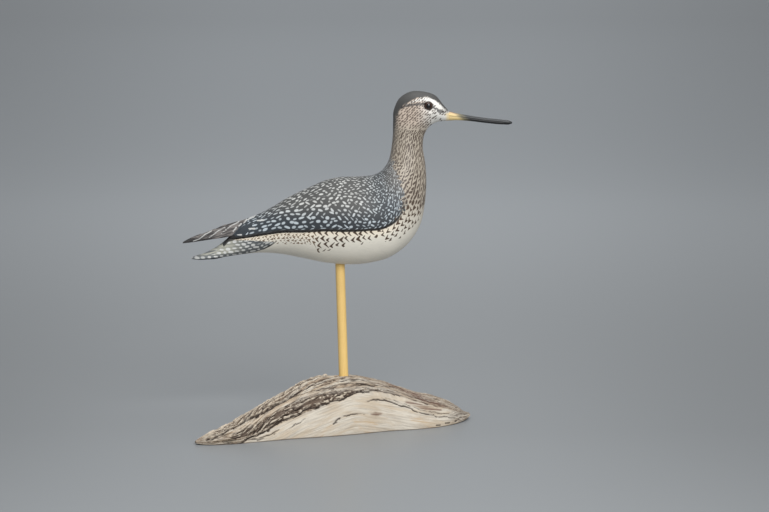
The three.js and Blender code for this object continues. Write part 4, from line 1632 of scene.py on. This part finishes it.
@dataclass(frozen=True)
class Driftwood:
    """The weathered piece of wood that the bird stands on, its long axis turned to the bird.

    Stations are (along, height of the ridge, front foot, back foot, height of the feet). The places
    of what is seen on its front are (along, distance up over the surface from the front foot).
    """

    turn_degrees: float = 24
    stations: Route = (
        (-168, 3.4, -29, -24, 1.4),
        (-160, 7, -35, -17, 0.6),
        (-140, 12.4, -40, -4, 0),
        (-110, 22.4, -40, 14, 0),
        (-74, 36.8, -38.5, 30, 0),
        (-40, 49.8, -40.5, 38, 0),
        (-3, 54.6, -40, 42, 0),
        (31, 48.6, -36.5, 41, 0),
        (70, 34.8, -38.5, 37, 0),
        (100, 25.4, -32, 30, 0),
        (121, 17.5, -20, 22, 1),
        (134, 8.2, -9, 14, 2),
        (141, 5.4, -1, 8, 3.4),
    )
    dome_power: float = 2.1
    dome_root: float = 0.6
    full_relief_height: float = 11
    lines: tuple[GrainLine, ...] = (
        GrainLine(((-168, -1), (141, -1))),
        GrainLine(((-168, -0.86), (-118, -0.9), (-78, -0.88), (-45, -0.83), (-14, -0.73), (20, -0.56),
                   (60, -0.46), (141, -0.5))),
        GrainLine(((-168, -0.3), (-98, -0.46), (-72, -0.42), (-45, -0.33), (-20, -0.2), (10, -0.1),
                   (141, -0.12)), 1.2, (-150, 14)),
        GrainLine(((-168, 0.2), (-60, 0.22), (0, 0.34), (60, 0.4), (141, 0.3)), 2.6, (-110, 110)),
        GrainLine(((-168, 0.6), (-40, 0.68), (30, 0.72), (141, 0.68)), 2.2, (-90, 95)),
        GrainLine(((-168, 1), (141, 1))),
    )
    groove_width: float = 3.0
    smooth_edge: Route = (
        (-168, 0), (-127, 0.5), (-112, 5.5), (-96, 11), (-84, 16.5), (-64, 23), (-50, 29), (-35, 32.5),
        (-17, 36.5), (3, 42), (20, 43), (42, 40), (60, 33), (80, 26), (100, 20), (120, 10), (141, 3),
    )
    face_arch: Route = (
        (-168, -20), (-81, -8), (-57, 1.8), (-39, 7.2), (-21, 12.5), (-2, 16), (17, 13), (44, 7.5), (80, 1),
        (141, -6),
    )
    face_depth: float = 27
    dark_band: Route = (
        (-143, 3, 1.5), (-119, 11, 4.5), (-87, 22, 5.5), (-60, 31.5, 7), (-47, 35.5, 6.5), (-31, 39.5, 5.5),
        (-14, 42, 3.6), (2, 44.5, 2), (17, 45.5, 1), (40, 43.5, 0.7), (54, 38, 0.4),
    )
    upper_strand: Route = (
        (-158, 9, 2), (-135, 22, 4), (-116, 31, 5), (-99, 39.5, 6.5), (-79, 51, 7), (-60, 60, 6),
        (-45, 68, 5), (-20, 76, 3),
    )
    channel: Route = (
        (-138, 11, 1.5), (-116, 20.5, 2.6), (-99, 26.5, 3.2), (-79, 35, 3.8), (-60, 44, 4), (-45, 49, 4),
        (-30, 53.5, 3.6), (-12, 56, 2.6), (10, 57, 1.5),
    )
    strand_height: float = 1.7
    foot_dish: float = 1.5
    dish_radius: float = 9
    wear: Wear = Wear()
    fissures: tuple[Route, ...] = (
        ((-159, 4, 0.5), (-135, 17, 0.9), (-116, 25, 1.2), (-99, 31.5, 1.2), (-79, 41, 1.3), (-72, 42.5, 1.1),
         (-55, 52.6, 1), (-35, 59, 0.7), (-12, 62.5, 0.6), (-3, 64, 0.4)),
        ((-136, 0.5, 0.4), (-127, 1, 0.8), (-112, 5.5, 1.0), (-96, 11.5, 0.9), (-84, 17, 0.8),
         (-64, 23.5, 0.5), (-50, 29.5, 0.3), (-35, 33, 0.4), (-17, 36.8, 0.7), (3, 42.6, 0.6),
         (27, 43.3, 0.5), (42, 40.3, 0.4), (51, 36, 0.4)),
        ((10, 31.4, 0), (14, 32, 0.5), (20, 33.2, 0.5), (32, 32.4, 0.8), (42, 28.4, 0.6), (52, 25, 0.8),
         (66, 18.3, 0.5), (83, 13.2, 0.5), (115, 4.9, 0.2), (134, 3, 0)),
        ((30, 35.2, -0.1), (44, 31.4, 0.2), (58, 25.6, 0.3), (70, 20.6, 0.1), (92, 14.4, 0.3), (118, 8, 0)),
        ((-95, 37.6, 0.2), (-64, 46, 0.3), (-32, 51.6, 0.4), (-5, 54.2, 0.5), (20, 51.1, 0.6),
         (37, 49.4, 0.7), (50, 51, 0.9), (58, 50, 0.5)),
        ((-118, 2.2, 0.3), (-106, 3.7, 0.6), (-91, 7, 0.5), (-84, 10.4, 0.2)),
        ((-74, 10, 0.1), (-66, 15, 0.3), (-56, 19, 0.1)),
        ((-28, 12.2, 0.5), (-24.5, 14.4, 0.7), (-20, 17.4, 0.6)),
        ((-16, 18.8, 0.3), (-11, 19.6, 0.5), (-2, 20.6, 0.3), (8, 19.2, 0.1)),
        ((86, 2.6, 0.4), (91, 2.2, 0.5)),
        ((98, 3, 0.5), (104, 2.6, 0.4)),
        ((112, 3, 0.6), (119, 2.4, 0.3)),
    )
    shades: tuple[Route, ...] = (
        ((46, 56, 1.5), (56, 52, 3.5), (64, 48, 5), (71, 44, 6), (81, 34, 5), (92, 27, 2.5), (104, 22, 1)),
        ((58, 30, 1.5), (71, 24.6, 2.4), (82, 19.7, 2), (95, 17.8, 1)),
        ((15.5, 18.1, 0.2), (20.5, 18.5, 1.5), (25.5, 18.2, 0.5)),
        ((-168, 8, 3), (-165, 8, 2)),
    )
    warm_stains: tuple[Route, ...] = (
        ((-4, 12.7, 1.2), (9, 11, 2), (20, 7.5, 1.2)),
        ((0, 6, 0.6), (8, 3, 1), (16, 0.5, 0.8)),
        ((58, 10.5, 1), (66, 8.6, 2.4), (75, 5.6, 2.4), (84, 2.6, 1.2)),
        ((-42, 1, 1), (-37, 6, 1.4), (-30, 13, 1.2)),
        ((-138, 11, 0.2), (-99, 26.5, 0.8), (-60, 44, 1), (-30, 53.5, 0.6)),
    )
    rings: int = 400
    arc_points: int = 500
    top_columns: int = 228
    under_columns: int = 10
    cavity_reach: int = 5
    crease_degrees: float = 75

    def dome(self, along: Array) -> dict[str, Array]:
        """The smooth top over each ring's two feet: (1 - |across|^power)^root of the ridge's height.

        Args:
            along: the rings' places along the wood.

        Returns:
            y, z, across and at (distance up over the surface from the front foot) of points spread
            evenly over each ring, and each ring's girth, height of the ridge and lift of the feet.
        """
        rows = np.array(self.stations, float)
        height, front, back, lift = smooth_rows(rows[:, 0], rows[:, 1:], along).T[:, :, None]
        across = -np.cos(np.linspace(0, np.pi, self.arc_points))[None, :]
        dome = np.clip(1 - np.abs(across) ** self.dome_power, 0, 1) ** self.dome_root
        y = (front + back) / 2 + across * (back - front) / 2
        z = lift + (height - lift) * dome
        steps = np.hypot(np.diff(y, axis=1), np.diff(z, axis=1))
        length = np.concatenate([np.zeros_like(lift), np.cumsum(steps, axis=1)], axis=1)
        at = np.linspace(0, 1, self.top_columns) * length[:, -1:]
        spread = {"y": y, "z": z, "across": across + 0 * length}
        even = {name: even_rows(length, at, values) for name, values in spread.items()}
        return even | {"at": at, "girth": length[:, -1:], "height": height, "lift": lift}

    def grain(self, along: Array, at: Array, across: Array) -> Array:
        """Grain lines passed from the front foot, which all the relief follows.

        The number rises evenly between two lines. Below the smooth edge on the front it is counted
        from an arch instead.

        Args:
            along: the rings' places along the wood.
            at: distances up over the surface from the front foot.
            across: -1 at the front foot to 1 at the back foot.

        Returns:
            The number of lines, with its fraction.
        """
        crossings = np.stack([along_route(line.route, along) for line in self.lines], -1)[:, None, :]
        gaps = np.diff(crossings, axis=-1)
        passed = np.clip((across[..., None] - crossings[..., :-1]) / gaps, 0, 1).sum(axis=-1)
        edge = straight(self.smooth_edge, along)[:, None]
        arch = along_route(self.face_arch, along[:, None] + 0 * at)
        on_face = np.minimum((at - arch) / self.face_depth, 0.98)
        return np.where(at < edge, on_face, 1 + passed - even_rows(at, edge, passed))

    def build(self) -> Object:
        """The dome with the weathered relief sunk into it along its rings' normals, flat below.

        Returns:
            The driftwood.
        """
        along = np.linspace(self.stations[0][0], self.stations[-1][0], self.rings)
        dome = self.dome(along)
        y, z, at, lift = (dome[name] for name in ("y", "z", "at", "lift"))
        place = along[:, None] + 0 * at
        grain = self.grain(along, at, dome["across"])
        uneven = self.uneven(place, at)
        relief, rough = self.relief(place, at, uneven, grain, dome["girth"])
        # How far each point lies below the mean round it: the paint darkens hollows with it as painted shade
        # and lightens crests, partly as painted highlight
        cavity = 0.5 + 0.5 * (relief - blurred(relief, self.cavity_reach))
        slope_y, slope_z = np.gradient(y, axis=1), np.gradient(z, axis=1)
        slope = np.hypot(slope_y, slope_z)
        shallow = np.minimum(1, dome["height"] / self.full_relief_height)
        relief = relief * shallow * ramp(z - lift, 0, 1.5)
        y = y + relief * slope_z / slope
        z = np.maximum(z - relief * slope_y / slope, lift)
        vectors = {
            "grain_place": np.stack([place, at, grain], -1),
            "weather": np.stack([cavity, rough, z], -1),
            "stains": self.stains(place, uneven),
        }
        y, z = (self.round_below(numbers[..., None])[..., 0] for numbers in (y, z))
        x = along[:, None] + 0 * y
        turn = math.radians(self.turn_degrees)
        cosine, sine = math.cos(turn), math.sin(turn)
        vertices, faces = closed_loft(np.stack([x * cosine - y * sine, x * sine + y * cosine, z], -1))
        mesh = make_mesh("driftwood", vertices, faces)
        for name, values in vectors.items():
            write_loft_vectors(mesh, name, self.round_below(values))
        return make_object("driftwood", mesh, self.crease_degrees)

    def round_below(self, top: Array) -> Array:
        """Closes the rings on the underside, where every number runs straight from back to front.

        Args:
            top: numbers on the top, shape (rings, columns, numbers).

        Returns:
            The same with the columns of the underside added.
        """
        share = np.linspace(0, 1, self.under_columns + 2)[1:-1][None, :, None]
        return np.concatenate([top, top[:, -1:] + (top[:, :1] - top[:, -1:]) * share], axis=1)

    def uneven(self, along: Array, arc: Array) -> Array:
        """The distance from the front foot, shifted so that routes drawn with it break into steps."""
        steps, _ = plates(along / 5, arc / 3.5, 82)
        return arc + 1.2 * layered_noise(along / 9, arc / 9, 81) + 0.7 * steps

    def stains(self, along: Array, uneven: Array) -> Array:
        """Signed distances into the dark lines, the brown shades and the warm stains."""
        kinds = self.fissures, self.shades, self.warm_stains
        return np.stack([strokes(along, uneven, routes) for routes in kinds], -1)

    def relief(self, along: Array, arc: Array, uneven: Array, grain: Array,
               girth: Array) -> tuple[Array, Array]:
        """Depth of the weathering at each point, and how rough the wood is there.

        Grooves are V-shaped along the grain lines. Fibres are noise stretched along the grain,
        cracks lie where such noise passes zero, plates of four sizes have broken off at their own
        depths, and long ones are parted by notches. Two rounded strands stand up from the left part
        with a smooth channel between them, and the wood round the leg's foot is dished.

        Args:
            along: places along the wood.
            arc: distances up over the surface from the front foot.
            uneven: the same distances, shifted so that routes break into steps.
            grain: grain lines passed from the front foot.
            girth: length of each ring over the surface from foot to foot.

        Returns:
            The depths and the roughness.
        """
        g = grain + 0.09 * layered_noise(along / 30, grain * 2.5, 31)
        smooth = ramp(straight(self.smooth_edge, along) - uneven, -0.8, 1.2) * (arc < girth / 2)
        inside_band = stroke(along, uneven, self.dark_band)
        band = ramp(inside_band, -1, 1.5)
        strand = ramp(stroke(along, uneven, self.upper_strand), -1, 1.5)
        channel = ramp(stroke(along, uneven, self.channel), -0.8, 2)
        rough = (1 - smooth) * (0.6 + 0.4 * ramp(along, 40, -30))
        rough = np.maximum(rough, np.maximum(1.6 * band, 0.5 * ramp(along, 98, 122)))
        rough = np.maximum(rough, 1.3 * strand * (1 - smooth)) * (1 - 0.5 * channel)
        wear = self.wear
        depth = np.zeros_like(grain)
        for k, line in enumerate(self.lines):
            gap = np.abs(g - k) * girth / 6
            depth = depth + line.share(along) * np.clip(1 - gap / self.groove_width, 0, 1)
        fibres = layered_noise(g * 15, along / 26, 41)
        large, _ = plates(along / 24 + 0.6 * fibres, g * 6.5, 61)
        small, _ = plates(along / 7 + 0.6 * fibres, g * 14, 62)
        crumbs, _ = plates(along / 7 + fibres, g * 17, 63)
        _, from_end = plates(along / 18 + 0.4 * fibres, g * 10, 64)
        notches = ramp(from_end, 0.07, 0.02)
        crossing = np.abs(layered_noise(g * 6, along / 46, 71, 3))
        cracks = np.clip(1 - crossing / 0.1, 0, 1)
        lumps = layered_noise(along / 13, arc / 12, 85, 3)
        slabs, _ = plates(along / 17 + 0.6 * fibres, g * 3.5, 65)
        depth = depth + rough * (wear.fibres * fibres + wear.slabs * slabs + wear.large * large
                                 + wear.small * small + wear.cracks * cracks)
        broken = wear.crumbs * crumbs + wear.notches * notches
        depth = depth + (1 - smooth) * (wear.lumps * lumps + np.maximum(band, strand) * broken)
        depth = depth - self.strand_height * (ramp(inside_band, -0.5, 4) + 0.7 * strand * (1 - smooth))
        fine = wear.smooth_fibres * fibres + wear.smooth_plates * large + wear.smooth_cracks * cracks
        depth = depth + (1 - np.minimum(rough, 1)) * fine
        depth = depth + wear.fissures * ramp(strokes(along, uneven, self.fissures), -0.6, 0.9)
        from_foot = np.hypot(along, arc - girth / 2)
        depth = depth + self.foot_dish * np.exp(-((from_foot / self.dish_radius) ** 2))
        return np.clip(depth, wear.shallowest, wear.deepest), rough


@dataclass(frozen=True)
class WeatheredWood:
    """Bare wood bleached by the sea: cream and grey fibres, dark brown grooves, and painted shade, highlight
    and contact shadow.
    """

    pale: Colour = srgb(207, 198, 183)
    cream: Colour = srgb(194, 179, 158)
    bleached_crest_and_highlight: Colour = srgb(203, 190, 171)
    tan: Colour = srgb(168, 145, 121)
    grey: Colour = srgb(124, 112, 102)
    brown: Colour = srgb(76, 59, 47)
    groove: Colour = srgb(54, 43, 35)
    shade: Colour = srgb(98, 66, 50)
    ochre: Colour = srgb(190, 162, 126)

    def streaks(self, g: Graph, across: float, along: float, seed: float) -> NodeSocket:
        """Noise with so many bumps for each grain line passed, and for each millimetre along."""
        place, _, grain = g.parts(g.vector("grain_place"))
        return g.noise(g.joined(g.times(place, along), g.times(grain, across), seed), 1.0, 4, 0.6)

    def material(self) -> Material:
        """Fibres are noise stretched along the grain; hollows in the weathered relief are darkened as painted
        shade and crests lightened, partly as painted highlight, by their depth against the mean round them.
        The bottom edge is darkened as a painted contact shadow.

        Returns:
            The material.
        """
        material, g, shader = new_material("weathered_wood")
        cavity, rough, height = g.parts(g.vector("weather"))
        lines, shades, warm = g.parts(g.vector("stains"))
        broad = self.streaks(g, 4.0, 0.03, 9.0)
        layers = self.streaks(g, 13.0, 0.018, 13.0)
        fibres = self.streaks(g, 16.0, 0.06, 0.0)
        fine = self.streaks(g, 34.0, 0.08, 3.0)
        short = self.streaks(g, 15.0, 0.11, 5.0)
        worn = g.math("MINIMUM", rough, 1.0)
        along = g.parts(g.vector("grain_place"))[0]
        right = g.times(g.step(along, -20.0, 50.0), worn)
        # Bleached wood, greyer and more broken to the right of the leg
        colour = g.mix(g.step(broad, 0.4, 0.62), self.pale, self.cream)
        in_tan = g.times(g.times(worn, 0.68), g.step(broad, 0.42, 0.56))
        colour = g.mix(in_tan, colour, self.tan)
        colour = g.coat(colour, self.grey, right, 0.32)
        layered = g.line(right, 0.4, g.line(worn, 0.2, 0.25))
        colour = g.coat(colour, self.grey, g.step(layers, 0.48, 0.58), layered)
        colour = g.coat(colour, self.grey, g.step(fine, 0.5, 0.7), 0.28)
        dark = g.times(worn, g.step(fibres, 0.5, 0.4))
        colour = g.coat(colour, self.brown, dark, g.line(right, 0.3, 0.36))
        dark = g.times(worn, g.step(short, 0.53, 0.6))
        colour = g.coat(colour, self.brown, dark, g.line(right, 0.2, 0.62))
        contour = g.step(g.off_middle(g.times(self.streaks(g, 6.0, 0.02, 21.0), 5.0)), 0.28, 0.1)
        drawn = g.line(right, 0.45, g.times(worn, 0.5))
        contour = g.times(contour, drawn)
        colour = g.coat(colour, self.brown, contour, g.step(short, 0.38, 0.52))
        # Pale crests, partly painted highlight, then the dark band, stains, lines, hollows darkened as
        # painted shade, and a painted contact shadow along the bottom edge
        # Crests painted paler: partly bleached wood, partly painted highlight
        bleached_crest_and_highlight = g.times(worn, g.step(cavity, 0.36, 0.1))
        bleached_crest_and_highlight = g.times(bleached_crest_and_highlight, g.line(right, -0.9, 0.85))
        colour = g.mix(bleached_crest_and_highlight, colour, self.bleached_crest_and_highlight)
        left_end = g.times(g.step(along, -85.0, -125.0), g.step(cavity, 0.6, 0.3))
        colour = g.coat(colour, self.bleached_crest_and_highlight, left_end, 0.3)
        low_band = g.times(g.step(rough, 1.1, 1.4), g.step(cavity, 0.0, 0.34))
        colour = g.coat(colour, self.brown, low_band, 0.8)
        layer_share = g.line(g.step(layers, 0.42, 0.58), 0.6, 0.2)
        in_shade = g.times(g.step(shades, -2.5, 1.0), layer_share)
        colour = g.mix(in_shade, colour, self.shade)
        stained = g.times(g.step(warm, -2.5, 2.0), g.step(layers, 0.4, 0.6))
        colour = g.coat(colour, self.ochre, stained, 0.75)
        broken = g.times(g.step(short, 0.36, 0.52), g.line(worn, 0.2, 0.75))
        colour = g.coat(colour, self.groove, g.step(lines, -0.9, 0.5), broken)
        # Painted shade: hollows deeper than the mean round them darkened
        colour = g.coat(colour, self.groove, g.step(cavity, 0.56, 0.86), 0.85)
        # Painted contact shadow: the bottom edge, where the wood meets the floor, darkened
        colour = g.coat(colour, self.groove, g.step(height, 1.3, 0.5), 0.75)
        g.feed(shader.inputs["Base Color"], colour)
        shader.inputs["Roughness"].default_value = 0.85
        add_bump(g, shader, g.plus(g.plus(fibres, fine), short), 0.5, 0.5)
        return material


# Studio


@dataclass(frozen=True)
class FloorPaper:
    """Grey paper with painted light: brighter near the part and a little darker far off and to the sides.

    A fade is (distance where it starts, where it ends) in metres, or the other way round.
    """

    grey: Colour = srgb(147, 150, 152)
    near_fade: Pair = (2.8, 0.3)
    far_fade: Pair = (8.0, 25.0)
    side_fade: Pair = (1.0, 12.0)
    camera_distance: float = 2.6

    def material(self) -> Material:
        """The painted light falloff, by the distance from the part and by how far aside of the view a place
        lies.

        Returns:
            The material.
        """
        material, g, shader = new_material("floor_paper")
        x, y, _ = g.xyz()
        reach = g.reach(x, y)
        aside = g.math("DIVIDE", g.math("ABSOLUTE", x), g.plus(g.math("ABSOLUTE", y), self.camera_distance))
        # Painted light: brighter near the part, a little darker far off and to the sides of the view
        near = g.line(g.step(reach, *self.near_fade), -0.93, 1.79)
        far = g.line(g.step(reach, *self.far_fade), -0.12, 1.0)
        edge = g.line(g.step(reach, *self.side_fade), 0.1, 0.33)
        beside = g.times(g.step(aside, 0.03, 0.18), edge)
        fade = g.times(g.times(near, far), g.minus(1.0, beside))
        g.feed(shader.inputs["Base Color"], g.shade(self.grey, fade))
        shader.inputs["Roughness"].default_value = 0.38
        shader.inputs["Specular IOR Level"].default_value = 0.3
        return material


@dataclass(frozen=True)
class SoftBox:
    """A square lamp that is turned to the middle of the part, in metres and watts."""

    name: str
    place: Triple
    size: float
    watts: float
    aim: Triple = (0, 0, 0.2)

    def build(self) -> None:
        """Hangs the lamp in the scene."""
        data = bpy.data.lights.new(self.name, "AREA")
        data.size, data.energy = self.size, self.watts
        lamp = bpy.data.objects.new(self.name, data)
        lamp.location = self.place
        lamp.rotation_euler = (Vector(self.aim) - Vector(self.place)).to_track_quat("-Z", "Y").to_euler()
        bpy.context.scene.collection.objects.link(lamp)


@dataclass(frozen=True)
class Studio:
    """Plain floor, soft light and the camera of the photograph, in metres."""

    camera_place: Triple = (0.0409, -2.5848, 0.45506)
    pitch_down_degrees: float = 6.2
    lens: float = 121.7
    sensor_width: float = 36
    view_distance: float = 500
    floor_rings: tuple[float, ...] = (0.5, 2, 8, 30, 120)
    floor_sides: int = 128
    lamps: tuple[SoftBox, ...] = (
        SoftBox("overhead", (0.1, -0.2, 2.2), 2.2, 26),
        SoftBox("front", (0.8, -2.5, 1.8), 1.3, 66),
    )
    sky: Colour = srgb(214, 218, 222)
    sky_strength: float = 0.62

    def camera(self) -> None:
        """Camera level across, looking along Y and a little down."""
        data = bpy.data.cameras.new("camera")
        data.lens, data.sensor_width, data.clip_end = self.lens, self.sensor_width, self.view_distance
        camera = bpy.data.objects.new("camera", data)
        camera.location = self.camera_place
        camera.rotation_euler = (math.radians(90 - self.pitch_down_degrees), 0, 0)
        bpy.context.scene.collection.objects.link(camera)
        bpy.context.scene.camera = camera

    def floor(self) -> None:
        """A flat disc of rings round a centre, so wide that it fills the view up to the top."""
        turn = np.linspace(0, 2 * np.pi, self.floor_sides, endpoint=False)
        reach = np.array(self.floor_rings)[:, None] / MM
        x, y = reach * np.cos(turn), reach * np.sin(turn)
        points = np.stack([x, y, 0 * x], -1).reshape(-1, 3)
        i, j = np.meshgrid(np.arange(len(reach) - 1), np.arange(self.floor_sides), indexing="ij")
        onward = (j + 1) % self.floor_sides
        a, b = i * self.floor_sides + j, i * self.floor_sides + onward
        quads = np.stack([a, a + self.floor_sides, b + self.floor_sides, b], -1).reshape(-1, 4)
        fan = np.stack([np.full(self.floor_sides, len(points)), j[0], onward[0]], -1)
        vertices = np.concatenate([points, np.zeros((1, 3))])
        floor = make_object("floor", make_mesh("floor", vertices, [quads, fan]))
        floor.data.materials.append(FloorPaper().material())

    def lights(self) -> None:
        """A large lamp overhead, one at the right of the camera, and an even sky."""
        for lamp in self.lamps:
            lamp.build()
        world = bpy.data.worlds.new("studio")
        bpy.context.scene.world = world
        world.use_nodes = True
        background = world.node_tree.nodes["Background"]
        background.inputs["Color"].default_value = self.sky
        background.inputs["Strength"].default_value = self.sky_strength


def main() -> None:
    """Builds the decoy piece by piece, then the studio round it."""
    logging.basicConfig(level=logging.INFO, format="%(message)s")
    bpy.context.scene.view_settings.view_transform = "Standard"
    marks, paint = feather_marks(), brushed_paint()
    dress(Carving().build(), FeatherPaint().material(marks, paint), Finish.PAINTED_WOOD, "body")
    dress(Bill().build(), BillPaint().material(paint), Finish.BILL_PAINT, "bill")
    glass = EyeGlass().material()
    for side in Side:
        dress(Eye().build(side), glass, Finish.GLASS_EYE, Eye().node(side))
    dress(Leg().build(), LegPaint().material(paint), Finish.LEG_PAINT, "leg")
    dress(Driftwood().build(), WeatheredWood().material(), Finish.DRIFTWOOD, "base")
    studio = Studio()
    studio.floor()
    studio.lights()
    studio.camera()


if __name__ == "__main__":
    main()
